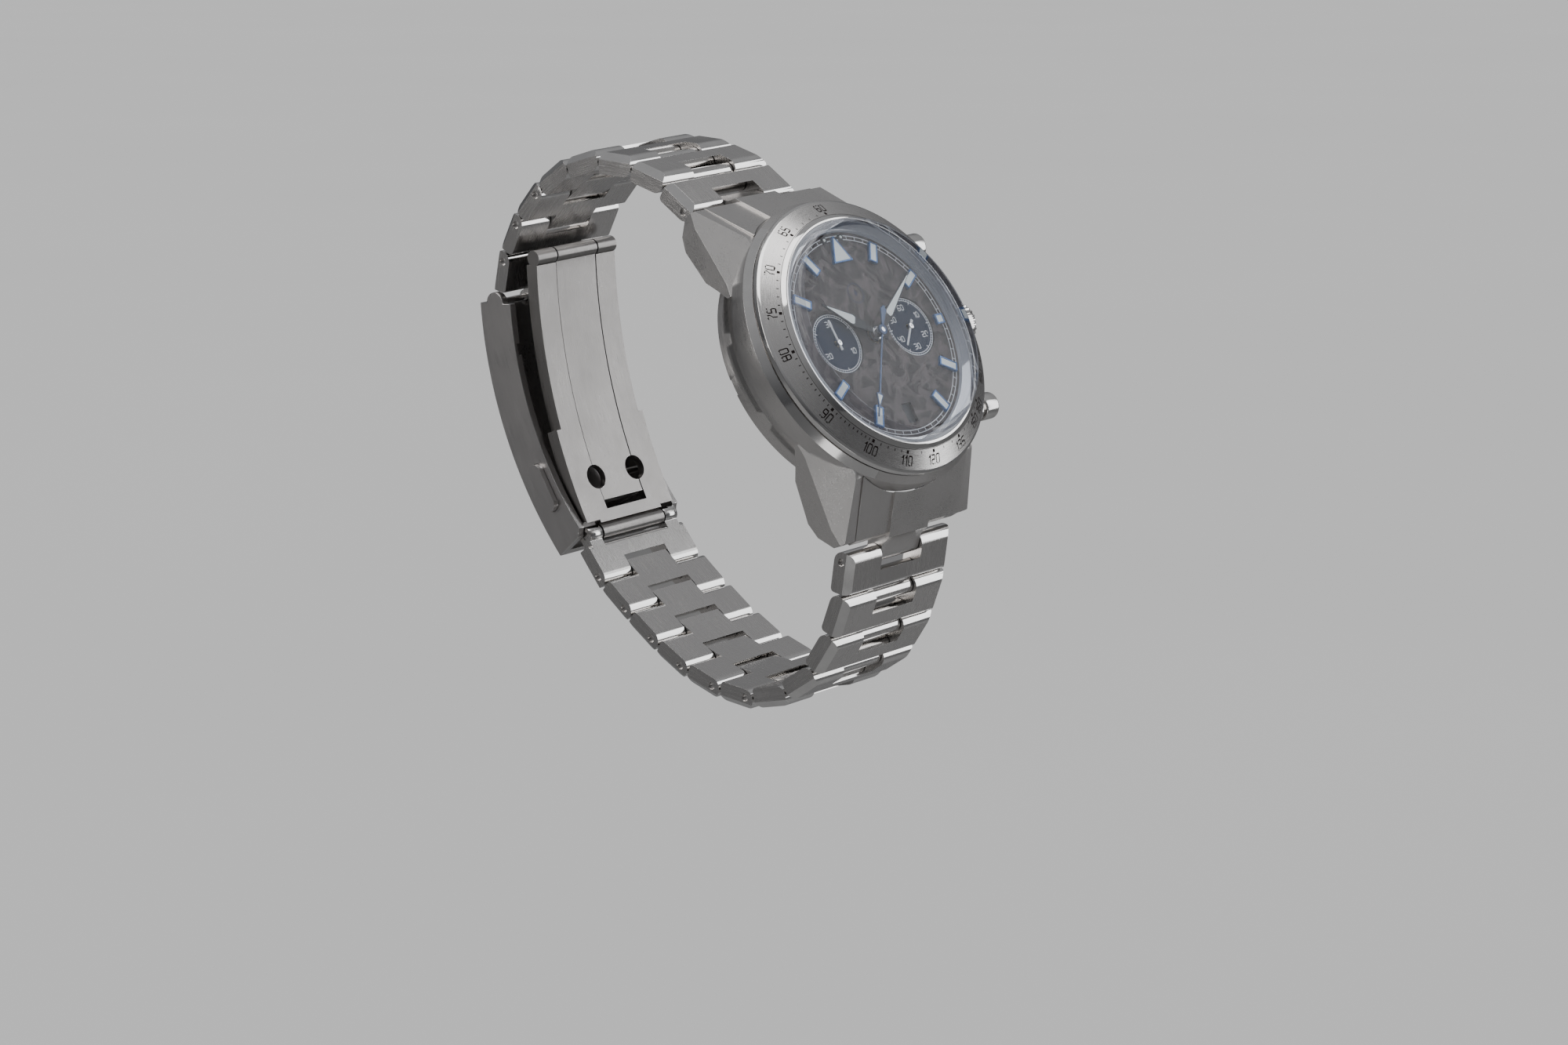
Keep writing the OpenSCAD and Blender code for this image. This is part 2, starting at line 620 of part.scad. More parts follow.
module windows() twin() translate([tongue_x, 0, 0]) translate([0, blade_c[0], blade_c[1]])
    rotate([latch_a, 0, 0]) rotate([-90, 0, 0]) translate([0, 0, 60]) cylinder(r = 1.8, h = 18.9);
module blade_inner() color(steel) difference() {
    union() {
        intersection() {
            bend(blade_c, blade_r + blade_t - 0.1, blade_r + 0.05, -tongue_x, tongue_x);
            slice(blade_c, heel_a - 0.6, fold_a - 0.4, -30, 30);
        }
        intersection() {
            bend(blade_c, blade_r + 3.0, blade_r + 0.05, -tongue_x, tongue_x);
            slice(blade_c, heel_a - 0.82, heel_a + 0.82, -30, 30);
        }
        bar(heel_at, 1.15, -tongue_x, tongue_x);
        bar(fold_at, 1.15, -tongue_x, tongue_x);
    }
    windows();
    bar(heel_at, 0.69, -20, 20);
    bar(fold_at, 0.65, -20, 20);
}
// button_3: the latch button on the three o'clock side
module button_3() {
    button_seat() {
        translate([0, 0, 8.6]) linear_extrude(2.6) button_plan(0);
        translate([0, -0.3, 8.1]) linear_extrude(0.52) square([6.6, 2.2], center = true);
    }
    bar(latch_at, 0.55, 3.5, 8.4);
    translate([3.05, latch_at[0], latch_at[1]]) rotate([0, 90, 0])
        cylinder(r1 = 0.2, r2 = 0.55, h = 0.46);
}
module clasp_button_3() color(steel) button_3();
module clasp_button_9() color(steel) mirror([1, 0, 0]) button_3();

mid_case();
case_back();
back_gasket();
bezel();
crystal();
crystal_gasket();
rehaut();
dial();
hour_markers();
subdials();
date_disc();
hour_hand();
minute_hand();
chrono_hand();
seconds_hand();
counter_hand();
movement_ring();
mainplate();
bridges();
rotor();
barrel();
balance();
stem_pinion();
crown();
crown_tube();
pusher_2();
pusher_4();
pusher_tubes();
end_link_12();
end_link_6();
lug_bars();
link12_1();
link12_2();
link12_3();
link12_4();
link12_5();
link12_6();
link12_7();
link12_8();
link6_1();
link6_2();
link6_3();
link6_4();
link6_5();
link6_6();
link6_7();
link6_8();
link6_9();
link6_10();
link6_11();
clasp_cover();
clasp_bar();
blade_outer();
blade_inner();
clasp_button_9();
clasp_button_3();
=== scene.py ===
"""Looks of a chronograph wristwatch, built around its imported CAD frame.

Lengths inside the classes are millimetres; a mesh becomes metres when it is made.
The dial faces -Y, twelve o'clock is +Z and the crown is on +X. A height counts
from the case back toward the crystal, so height h stands at y = -h.
"""

from __future__ import annotations

import json
import logging
import math
from dataclasses import dataclass
from enum import Enum
from typing import Callable, Sequence, Union

import bmesh
import bpy
import numpy as np
from mathutils import Matrix

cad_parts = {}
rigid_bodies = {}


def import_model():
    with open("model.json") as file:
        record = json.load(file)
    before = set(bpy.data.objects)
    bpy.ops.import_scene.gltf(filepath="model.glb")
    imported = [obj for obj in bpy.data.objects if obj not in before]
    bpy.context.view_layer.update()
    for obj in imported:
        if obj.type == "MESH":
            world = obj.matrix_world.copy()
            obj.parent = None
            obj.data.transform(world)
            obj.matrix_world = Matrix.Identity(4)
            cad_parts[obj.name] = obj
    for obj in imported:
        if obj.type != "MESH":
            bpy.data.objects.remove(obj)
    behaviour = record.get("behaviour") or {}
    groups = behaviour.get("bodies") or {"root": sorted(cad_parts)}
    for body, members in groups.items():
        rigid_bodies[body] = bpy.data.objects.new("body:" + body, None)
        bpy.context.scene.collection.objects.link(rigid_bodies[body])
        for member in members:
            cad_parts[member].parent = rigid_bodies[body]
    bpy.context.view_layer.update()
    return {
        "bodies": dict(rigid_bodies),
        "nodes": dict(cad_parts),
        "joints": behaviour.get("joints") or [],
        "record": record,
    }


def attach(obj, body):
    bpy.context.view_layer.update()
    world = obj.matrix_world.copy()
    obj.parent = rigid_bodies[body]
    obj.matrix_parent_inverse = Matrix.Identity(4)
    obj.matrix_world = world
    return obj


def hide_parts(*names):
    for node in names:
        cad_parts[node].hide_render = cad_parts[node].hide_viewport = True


LOG = logging.getLogger("watch")
MM = 0.001
Triple = tuple[float, float, float]
RGB = Triple
Profile = Sequence[tuple[float, float]]
Array = np.ndarray
Material = bpy.types.Material
Socket = bpy.types.NodeSocket
Item = bpy.types.Object


# ---- shader sheets
Term = Union["Num", float]


def operator(operation: str, swapped: bool = False) -> Callable[["Num", Term], "Num"]:
    """Makes an arithmetic method of Num.

    Args:
        operation: the Math node's operation.
        swapped: the other term comes first, as in a float minus a Num.
    Returns:
        A method that adds one Math node and returns its result.
    """
    def method(self: "Num", other: Term) -> "Num":
        terms = (other, self) if swapped else (self, other)
        node = self.sheet.add("ShaderNodeMath", {"operation": operation}, dict(enumerate(terms)))
        return Num(self.sheet, node.outputs[0])

    return method


@dataclass(frozen=True)
class Num:
    """A number on a shader wire. Arithmetic on it adds Math nodes."""

    sheet: "Sheet"
    wire: Socket

    __add__ = __radd__ = operator("ADD")
    __sub__ = operator("SUBTRACT")
    __rsub__ = operator("SUBTRACT", swapped=True)
    __mul__ = operator("MULTIPLY")
    __truediv__ = operator("DIVIDE")
    __pow__ = operator("POWER")

    def ramp(self, low: float, high: float) -> "Num":
        """Smooth step: 0 at low, 1 at high."""
        node = self.sheet.add(
            "ShaderNodeMapRange",
            {"interpolation_type": "SMOOTHSTEP"},
            {"Value": self, "From Min": low, "From Max": high},
        )
        return Num(self.sheet, node.outputs["Result"])


class Sheet:
    """The node tree of one material, or of the world."""

    def __init__(self, name: str, tree: bpy.types.NodeTree | None = None) -> None:
        """Clears the given tree, or starts a new material with an output node.

        Args:
            name: the new material's name.
            tree: a tree to use in place of a new material's.
        """
        self.tree = tree
        if tree is None:
            self.material = bpy.data.materials.new(name)
            self.material.use_nodes = True
            self.tree = self.material.node_tree
        self.tree.nodes.clear()
        if tree is None:
            self.output = self.tree.nodes.new("ShaderNodeOutputMaterial")

    def add(
        self, kind: str, settings: dict | None = None, inputs: dict | None = None
    ) -> bpy.types.Node:
        """Adds a node.

        Args:
            kind: the node's type.
            settings: its properties, set before its sockets.
            inputs: socket name or number against a value, a Num or a socket.
        Returns:
            The new node.
        """
        node = self.tree.nodes.new(kind)
        for key, value in (settings or {}).items():
            setattr(node, key, value)
        for key, value in (inputs or {}).items():
            socket = node.inputs[key]
            if isinstance(value, Num):
                self.tree.links.new(value.wire, socket)
            elif isinstance(value, Socket):
                self.tree.links.new(value, socket)
            else:
                socket.default_value = value
        return node

    def place(self, scale: Triple, turn: float = 0.0) -> Socket:
        """Object coordinates turned about X and then stretched.

        Args:
            scale: cycles per metre along X, along the turned Y and along the turned Z.
            turn: degrees from +Y toward +Z of the grain's direction.
        Returns:
            The vector socket.
        """
        where = self.add("ShaderNodeTexCoord").outputs["Object"]
        return self.laid(where, (math.radians(turn), 0, 0), tuple(1.0 / s for s in scale))

    def laid(self, where: Socket, turn: Triple, size: Triple) -> Socket:
        """Coordinates turned by three angles in radians and divided by three sizes."""
        inputs = {"Vector": where, "Rotation": turn, "Scale": size}
        return self.add("ShaderNodeMapping", {"vector_type": "TEXTURE"}, inputs).outputs["Vector"]

    def polar(self, around: float, across: float) -> Socket:
        """Coordinates that run round the Y axis: the unit direction times around, and
        radius plus depth times across, so a noise on them makes rings.

        Args:
            around: how quickly the pattern changes round the axis.
            across: cycles per metre of radius.
        Returns:
            The vector socket.
        """
        where = self.add("ShaderNodeTexCoord").outputs["Object"]
        parts = self.add("ShaderNodeSeparateXYZ", None, {0: where})
        x, y, z = (Num(self, parts.outputs[i]) for i in range(3))
        radius = (x * x + z * z + 1e-9) ** 0.5
        joined = self.add(
            "ShaderNodeCombineXYZ",
            None,
            {0: x / radius * around, 1: (radius + y * 0.7) * across, 2: z / radius * around},
        )
        return joined.outputs[0]

    def noise(self, where: Socket, scale: float = 1.0, detail: float = 2.0) -> Num:
        """Fractal noise from 0 to 1 on the given coordinates."""
        node = self.add("ShaderNodeTexNoise", None, {"Vector": where, "Scale": scale, "Detail": detail})
        return Num(self, node.outputs[0])

    def blend(self, amount: Term, first: object, second: object) -> Socket:
        """Colour mix: first where amount is 0, second where it is 1."""
        node = self.add("ShaderNodeMix", {"data_type": "RGBA"}, {0: amount})
        for index, colour in ((6, first), (7, second)):
            if isinstance(colour, Socket):
                self.tree.links.new(colour, node.inputs[index])
            else:
                node.inputs[index].default_value = (*colour, 1.0)
        return node.outputs[2]

    def bump(self, height: Num, depth: float, strength: float = 1.0) -> Socket:
        """Normal of a surface raised by height times depth metres."""
        node = self.add(
            "ShaderNodeBump", None, {"Height": height, "Distance": depth, "Strength": strength}
        )
        return node.outputs["Normal"]

    def mix(self, share: Num, first: bpy.types.Node, second: bpy.types.Node) -> bpy.types.Node:
        """Shader mix: first where share is 0, second where it is 1."""
        return self.add("ShaderNodeMixShader", None, {0: share, 1: first.outputs[0], 2: second.outputs[0]})

    def close(self, shader: bpy.types.Node) -> Material:
        """Links a shader to the output and returns the material."""
        self.tree.links.new(shader.outputs[0], self.output.inputs[0])
        return self.material

    def finish(self, **sockets: object) -> Material:
        """Closes the sheet with a Principled shader.

        Args:
            sockets: socket names with _ for a space, against values or wires.
        Returns:
            The material.
        """
        inputs = {key.replace("_", " "): value for key, value in sockets.items()}
        base = inputs.get("Base Color")
        if isinstance(base, tuple) and len(base) == 3:
            inputs["Base Color"] = (*base, 1.0)
        return self.close(self.add("ShaderNodeBsdfPrincipled", None, inputs))


# ---- finishes
class Grain(Enum):
    """Which way a brushed finish runs."""

    STRAIGHT = "straight"
    ROUND = "round"


@dataclass(frozen=True)
class Brushed:
    """Satin steel with a directional grain."""

    name: str
    grain: Grain = Grain.STRAIGHT
    turn: float = 0.0
    colour: RGB = (0.66, 0.64, 0.625)
    rough: float = 0.30
    depth: float = 1.6e-6

    def make(self) -> Material:
        """Streak noise, long with the grain and fine across it, sets tone, gloss and bump."""
        s = Sheet(self.name)
        if self.grain is Grain.STRAIGHT:
            fine = s.noise(s.place((9000, 260, 9000), self.turn), detail=3)
            wide = s.noise(s.place((1500, 90, 1500), self.turn))
        else:
            fine = s.noise(s.polar(14, 9000), detail=3)
            wide = s.noise(s.polar(5, 1600))
        cloud = s.noise(s.place((160, 160, 160)), detail=3)
        dark = tuple(c * 0.86 for c in self.colour)
        tone = s.blend(fine * 0.55 + wide * 0.45, dark, self.colour)
        return s.finish(
            Base_Color=tone,
            Metallic=1.0,
            Roughness=self.rough + (fine - 0.5) * 0.16 + (cloud - 0.5) * 0.10,
            Normal=s.bump(fine * 0.7 + wide * 0.3, self.depth * 8),
        )


@dataclass(frozen=True)
class Polished:
    """Bright steel with faint wear and haze."""

    name: str
    colour: RGB = (0.80, 0.785, 0.77)
    rough: float = 0.10

    def make(self) -> Material:
        """Fine hairlines and a cloudy haze vary the gloss a little."""
        s = Sheet(self.name)
        haze = s.noise(s.place((420, 420, 420)), detail=4)
        lines = s.noise(s.place((7000, 500, 2500)), detail=3)
        dark = tuple(c * 0.93 for c in self.colour)
        return s.finish(
            Base_Color=s.blend(haze.ramp(0.35, 0.7), dark, self.colour),
            Metallic=1.0,
            Roughness=self.rough + (haze - 0.5) * 0.09 + (lines - 0.5) * 0.05,
            Normal=s.bump(haze, 2.0e-6),
        )


@dataclass(frozen=True)
class Flaked:
    """The dial: pressed flakes of grey-brown laminate, each with its own streaks."""

    name: str
    dark: RGB = (0.060, 0.047, 0.044)
    light: RGB = (0.165, 0.134, 0.126)

    def make(self) -> Material:
        """Cells pick a flake and its turn; a stretched noise in that turn streaks it."""
        s = Sheet(self.name)
        where = s.add("ShaderNodeTexCoord").outputs["Object"]
        warp = s.add("ShaderNodeTexNoise", None, {"Vector": where, "Scale": 380.0, "Detail": 2.0})
        lift = s.add(
            "ShaderNodeVectorMath", {"operation": "SCALE"}, {0: warp.outputs["Color"], "Scale": 0.0028}
        )
        bent = s.add("ShaderNodeVectorMath", {"operation": "ADD"}, {0: where, 1: lift.outputs[0]})
        tone: Num | None = None
        for turn, stretch in ((28.0, 0.34), (-41.0, 0.30), (74.0, 0.38)):
            spin = (0, math.radians(turn), 0)
            lay = s.laid(bent.outputs[0], spin, (stretch, 1.0, 1.6))
            cell = s.add(
                "ShaderNodeTexVoronoi", {"feature": "F1"}, {"Vector": lay, "Scale": 420.0, "Randomness": 1.0}
            )
            shade = Num(s, s.add("ShaderNodeSeparateColor", None, {0: cell.outputs["Color"]}).outputs[0])
            streak = s.noise(s.laid(where, spin, (0.12, 1.0, 2.2)), 900.0, 3)
            flake = shade.ramp(0.55, 0.95) * (0.45 + streak * 0.75)
            tone = flake if tone is None else tone + flake
        cloud = s.noise(where, 260.0, 4)
        amount = (tone * 0.42 + cloud * 0.42).ramp(0.12, 0.80)
        return s.finish(
            Base_Color=s.blend(amount, self.dark, self.light),
            Metallic=0.0,
            Roughness=0.62 - amount * 0.12,
            Normal=s.bump(amount, 1.2e-5, 0.5),
            Specular_IOR_Level=0.25,
        )


@dataclass(frozen=True)
class Lacquer:
    """Coloured metal, print or paint: a fine speckle over one colour."""

    name: str
    colour: RGB
    rough: float = 0.35
    metal: float = 0.0
    coat: float = 0.0
    glow: float = 0.0
    shine: float = 0.5

    def make(self) -> Material:
        """Speckle varies tone and gloss; glow adds a faint light of the same colour."""
        s = Sheet(self.name)
        fine = s.noise(s.place((5200, 5200, 5200)), detail=3)
        cloud = s.noise(s.place((600, 600, 600)), detail=3)
        dark = tuple(c * 0.84 for c in self.colour)
        return s.finish(
            Base_Color=s.blend(fine * 0.5 + cloud * 0.5, dark, self.colour),
            Metallic=self.metal,
            Roughness=self.rough + (fine - 0.5) * 0.10,
            Coat_Weight=self.coat,
            Coat_Roughness=0.06,
            Emission_Color=(*self.colour, 1.0),
            Emission_Strength=self.glow,
            Specular_IOR_Level=self.shine,
            Normal=s.bump(fine, 3.0e-6, 0.4),
        )


@dataclass(frozen=True)
class Clear:
    """Sapphire: see-through, with gloss that grows toward grazing and a faint tint."""

    name: str
    tint: RGB = (0.97, 0.98, 1.0)
    body: float = 0.0
    shine: float = 0.25
    milk: RGB = (0.80, 0.82, 0.90)

    def make(self) -> Material:
        """Mix of a clear and a glossy shader by Fresnel, with some milky body in the rim."""
        s = Sheet(self.name)
        haze = s.noise(s.place((900, 900, 900)), detail=2)
        edge = Num(s, s.add("ShaderNodeFresnel", None, {"IOR": 1.55}).outputs[0])
        clear = s.add("ShaderNodeBsdfTransparent", None, {0: (*self.tint, 1.0)})
        shine = s.add("ShaderNodeBsdfGlossy", None, {"Roughness": 0.02 + haze * 0.03})
        last = s.mix(edge * self.shine, clear, shine)
        if self.body > 0:
            look = {"Base Color": (*self.milk, 1.0), "Roughness": 0.16, "Coat Weight": 1.0}
            last = s.mix(
                self.body + (haze - 0.5) * 0.1, last, s.add("ShaderNodeBsdfPrincipled", None, look)
            )
        return s.close(last)


class Finishes:
    """Every shared finish, made once."""

    def __init__(self) -> None:
        """Makes the materials."""
        self.round_steel = Brushed("round_steel", Grain.ROUND).make()
        self.scale_steel = Brushed("scale_steel", Grain.ROUND, colour=(0.72, 0.70, 0.685), rough=0.27).make()
        self.upright_steel = Brushed("upright_steel", turn=90).make()
        self.bright_steel = Polished("bright_steel").make()
        self.pusher_steel = Polished("pusher_steel", rough=0.17).make()
        self.mirror_steel = Polished("mirror_steel", rough=0.06).make()
        self.flakes = Flaked("dial_flakes").make()
        self.navy = Lacquer("navy_dial", (0.003, 0.020, 0.066), 0.6, shine=0.15).make()
        self.blue = Lacquer("blue_frame", (0.008, 0.150, 0.46), 0.26, metal=0.4, coat=0.4).make()
        self.dark_blue = Lacquer("blued_steel", (0.010, 0.055, 0.16), 0.3, metal=0.4, coat=0.3).make()
        self.ink = Lacquer("scale_ink", (0.018, 0.010, 0.009), 0.6, shine=0.15).make()
        self.badge_blue = Lacquer("badge_blue", (0.010, 0.012, 0.06), 0.4).make()
        self.black = Lacquer("black_frame", (0.005, 0.005, 0.008), 0.35, shine=0.3).make()
        # The glow on the white print and the lume is painted light: an emission that brightens them beyond
        # what the lamps give.
        self.white = Lacquer("white_print", (0.86, 0.88, 0.90), 0.5, glow=0.16).make()
        self.lume = Lacquer("lume_fill", (0.88, 0.93, 0.91), 0.55, glow=0.28).make()
        self.glass = Clear("crystal_face", shine=0.10).make()
        self.glass_rim = Clear("crystal_rim", body=0.24, shine=0.8).make()
        self.glass_inner = Clear("crystal_inner", shine=0.04).make()
        self.gasket = Lacquer("dark_gasket", (0.02, 0.02, 0.02), 0.6).make()
        self.clear_gasket = Lacquer("pale_gasket", (0.62, 0.64, 0.70), 0.35, coat=0.5).make()
        self.brass = Lacquer("gilt_brass", (0.66, 0.50, 0.26), 0.3, metal=1.0).make()
        self.bridge = Brushed("bridge_steel", colour=(0.55, 0.55, 0.56)).make()


# ---- mesh work
@dataclass
class Shape:
    """Points and faces in millimetres, with a slot number for each face."""

    points: Array
    faces: list[Array]
    slots: list[int]

    @staticmethod
    def empty() -> "Shape":
        """A shape with nothing in it."""
        return Shape(np.zeros((0, 3)), [], [])

    def join(self, other: "Shape") -> "Shape":
        """This shape and another as one."""
        shift = len(self.points)
        moved = [f + shift for f in other.faces]
        return Shape(np.vstack([self.points, other.points]), self.faces + moved, self.slots + other.slots)

    def moved(self, offset: Sequence[float]) -> "Shape":
        """A copy moved by offset."""
        return Shape(self.points + np.asarray(offset, float), self.faces, self.slots)


def wall(rows: Array, slot: int = 0, closed_rows: bool = False) -> Shape:
    """Quads between neighbouring rows of points. Each row is a closed loop.

    Args:
        rows: array (rows, points, 3).
        slot: material slot of the faces.
        closed_rows: also joins the last row to the first.
    Returns:
        The shape.
    """
    count, width = rows.shape[:2]
    index = np.arange(count * width).reshape(count, width)
    below = index if closed_rows else index[:-1]
    above = np.roll(index, -1, 0) if closed_rows else index[1:]
    quads = np.stack([below, np.roll(below, -1, 1), np.roll(above, -1, 1), above], -1).reshape(-1, 4)
    return Shape(rows.reshape(-1, 3), list(quads), [slot] * len(quads))


def cap(row: Array, slot: int = 0) -> Shape:
    """One face over a closed loop of points."""
    return Shape(row, [np.arange(len(row))], [slot])


def face_points(flat: Array, height: Array | float) -> Array:
    """Dial-plan points (x, up) at a height, as frame points (x, -height, up)."""
    high = np.broadcast_to(height, flat.shape[:-1])
    return np.stack([flat[..., 0], -high, flat[..., 1]], -1)


def clock(flat: Array, angle: float) -> Array:
    """Turns plan points clockwise by angle degrees, so +up goes to that hour angle."""
    a = math.radians(angle)
    c, s = math.cos(a), math.sin(a)
    return flat @ np.array([[c, -s], [s, c]])


def inset(outline: Array, by: float) -> Array:
    """Moves each edge of a closed outline inwards by a distance and joins them again.

    The new corner is the old one plus by times (n1 + n2) / (1 + n1.n2), where n1 and n2
    are the inward normals of its two edges.
    """
    ahead = np.roll(outline, -1, 0) - outline
    ahead /= np.linalg.norm(ahead, axis=1, keepdims=True)
    x, y = outline.T
    turn = np.sign(np.sum(x * np.roll(y, -1) - y * np.roll(x, -1)))
    normal = np.stack([-ahead[:, 1], ahead[:, 0]], 1) * turn
    before = np.roll(normal, 1, 0)
    both = normal + before
    return outline + by * both / (1 + np.sum(normal * before, 1))[:, None]


def slab(outline: Array, low: float, high: float, cut: float, slot: int = 0) -> Shape:
    """A plate of an outline between two heights, with its top edge cut at 45 degrees."""
    rows = np.stack(
        [face_points(outline, low), face_points(outline, high - cut), face_points(inset(outline, cut), high)]
    )
    return wall(rows, slot).join(cap(rows[-1], slot)).join(cap(rows[0], slot))


def rim(outline: Array, low: float, high: float, wide: float, cut: float, slot: int = 0) -> Shape:
    """A raised frame along an outline, wide across, with cut top edges."""
    steps = [(0, low), (0, high - cut), (cut, high), (wide - cut, high), (wide, high - cut), (wide, low)]
    rows = np.stack([face_points(inset(outline, by) if by else outline, h) for by, h in steps])
    return wall(rows, slot, closed_rows=True)


def turned(profile: Profile, count: int, slots: Sequence[int] = ()) -> Shape:
    """Carries a closed profile of (radius, height) round the dial's axis.

    A point is (radius sin a, -height, radius cos a) for each angle a of the grid.

    Args:
        profile: the closed outline of the section.
        count: points round the axis.
        slots: one slot for each side of the outline; all 0 if left out.
    Returns:
        The shape.
    """
    line = np.asarray(profile, float)
    angle = np.linspace(0, 2 * np.pi, count, endpoint=False)
    rows = np.stack(
        [line[:, :1] * np.sin(angle), np.repeat(-line[:, 1:], count, 1), line[:, :1] * np.cos(angle)], -1
    )
    shape = wall(rows, 0, closed_rows=True)
    if slots:
        shape.slots = [kind for kind in slots for _ in range(count)]
    return shape


def lathe_x(
    profile: Profile, count: int, ripple: Callable[[Array, Array], Array] | None = None
) -> Shape:
    """Carries a profile of (x, radius) round the X axis, with an optional ripple on the radius."""
    line = np.asarray(profile, float)
    angle = np.linspace(0, 2 * np.pi, count, endpoint=False)
    x, radius = line[:, :1], line[:, 1:]
    full = radius + (ripple(x, angle) * (radius > 0) if ripple else 0.0) + 0 * angle
    rows = np.stack([x + 0 * angle, full * np.cos(angle), full * np.sin(angle)], -1)
    return wall(rows)


def rounded(profile: Profile, by: float, steps: int = 3) -> list[tuple[float, float]]:
    """Rounds the inner corners of an open profile.

    Each corner gives way to a quadratic curve between points set back by a distance
    along both of its edges: (1-t)^2 p + 2t(1-t) corner + t^2 q.
    """
    line = np.asarray(profile, float)
    made = [line[:1]]
    t = np.linspace(0, 1, steps + 1)[:, None]
    for before, corner, after in zip(line[:-2], line[1:-1], line[2:]):
        back, ahead = before - corner, after - corner
        p = corner + back * min(by / np.linalg.norm(back), 0.45)
        q = corner + ahead * min(by / np.linalg.norm(ahead), 0.45)
        made.append((1 - t) ** 2 * p + 2 * t * (1 - t) * corner + t**2 * q)
    made.append(line[-1:])
    return [tuple(p) for p in np.vstack(made)]


def build(name: str, shape: Shape, materials: Sequence[Material], solid: bool = True) -> Item:
    """Makes an object of a shape, in metres, with doubles merged and faces outwards.

    Args:
        name: the piece's name.
        shape: points, faces and slots.
        materials: one for each slot.
        solid: the shape is closed; if not, its faces turn toward -Y.
    Returns:
        The object, linked to the scene.
    """
    mesh = bpy.data.meshes.new(name)
    mesh.from_pydata(shape.points.tolist(), [], [f.tolist() for f in shape.faces])
    mesh.polygons.foreach_set("material_index", np.asarray(shape.slots, np.int32))
    work = bmesh.new()
    work.from_mesh(mesh)
    bmesh.ops.remove_doubles(work, verts=work.verts, dist=1e-4)
    bmesh.ops.dissolve_degenerate(work, edges=work.edges, dist=1e-5)
    if solid:
        bmesh.ops.recalc_face_normals(work, faces=work.faces)
    else:
        work.normal_update()
        wrong = [f for f in work.faces if f.normal.y > 0]
        bmesh.ops.reverse_faces(work, faces=wrong)
    bmesh.ops.scale(work, vec=(MM, MM, MM), verts=work.verts)
    work.to_mesh(mesh)
    work.free()
    return dress(name, mesh, materials, 32.0)


def linked(name: str, data: bpy.types.ID) -> Item:
    """Makes an object of some data and links it to the scene."""
    obj = bpy.data.objects.new(name, data)
    bpy.context.scene.collection.objects.link(obj)
    return obj


def dress(name: str, mesh: bpy.types.Mesh, materials: Sequence[Material], crisp: float) -> Item:
    """Shades a mesh smooth with edges over crisp degrees kept, gives it materials and links it."""
    mesh.shade_smooth()
    mesh.set_sharp_from_angle(angle=math.radians(crisp))
    for material in materials:
        mesh.materials.append(material)
    return linked(name, mesh)


def put(obj: Item, body: str, *nodes: str, slot: str | None = None) -> Item:
    """Rides a piece on a body, says which nodes it stands for and logs it."""
    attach(obj, body)
    if nodes:
        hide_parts(*nodes)
    LOG.info("%s rides on %s, %d faces", obj.name, body, len(obj.data.polygons))
    return obj


def coat(frame: dict, node: str, material: Material) -> None:
    """Gives a CAD node one material and leaves its mesh alone."""
    obj = frame["nodes"][node]
    if not obj.material_slots:
        obj.data.materials.append(material)
    for slot in obj.material_slots:
        slot.material = material


Chooser = Callable[[Array, Array], Array]
EASED = 9  # slot number that marks a rounded edge while a copy is worked on


def all_satin(centres: Array, normals: Array) -> Array:
    """Slot 0 for every face."""
    return np.zeros(len(centres))


@dataclass
class Machined:
    """A CAD solid copied as a piece of its own, with every outer edge eased."""

    frame: dict
    node: str
    name: str
    ease: float = 0.10
    sharp: float = 30.0

    def mount(self, body: str, materials: Sequence[Material], choose: Chooser = all_satin) -> None:
        """Makes the piece, whose last slot is for its edges, and puts it in the node's place."""
        obj = self.make(materials, choose, len(materials) - 1)
        put(obj, body, self.node, slot="brushed_steel")

    def make(self, materials: Sequence[Material], choose: Chooser, ease_slot: int) -> Item:
        """Merges the copy's triangles into flat faces, rounds its convex edges and dresses it.

        Args:
            materials: one for each slot.
            choose: slot numbers from face centres and normals, both in millimetres.
            ease_slot: the slot of the rounded edges.
        Returns:
            The object.
        """
        mesh = self.frame["nodes"][self.node].data.copy()
        mesh.materials.clear()
        work = bmesh.new()
        work.from_mesh(mesh)
        bmesh.ops.scale(work, vec=(1 / MM,) * 3, verts=work.verts)
        bmesh.ops.remove_doubles(work, verts=work.verts, dist=2e-3)
        bmesh.ops.dissolve_degenerate(work, edges=work.edges, dist=1e-3)
        bmesh.ops.dissolve_limit(
            work, angle_limit=math.radians(0.6), verts=work.verts, edges=work.edges,
            use_dissolve_boundaries=False,
        )
        limit = math.radians(self.sharp)
        outer = [
            e for e in work.edges
            if e.is_manifold and e.is_convex and e.calc_face_angle(0) > limit and e.calc_length() > 0.02
        ]
        for face in work.faces:
            face.material_index = 0
        if outer and self.ease > 0:
            bmesh.ops.bevel(
                work, geom=outer, offset=self.ease, segments=2, profile=0.5,
                affect="EDGES", clamp_overlap=True, material=EASED,
            )
        work.normal_update()
        centres = np.array([f.calc_center_median() for f in work.faces])
        normals = np.array([f.normal for f in work.faces])
        slots = choose(centres, normals).astype(int)
        for face, slot in zip(work.faces, slots.tolist()):
            face.material_index = ease_slot if face.material_index == EASED else slot
        bmesh.ops.scale(work, vec=(MM,) * 3, verts=work.verts)
        work.to_mesh(mesh)
        work.free()
        mesh.name = self.name
        obj = dress(self.name, mesh, materials, 38.0)
        even = obj.modifiers.new("even_normals", "WEIGHTED_NORMAL")
        even.keep_sharp = True
        even.weight = 70
        return obj


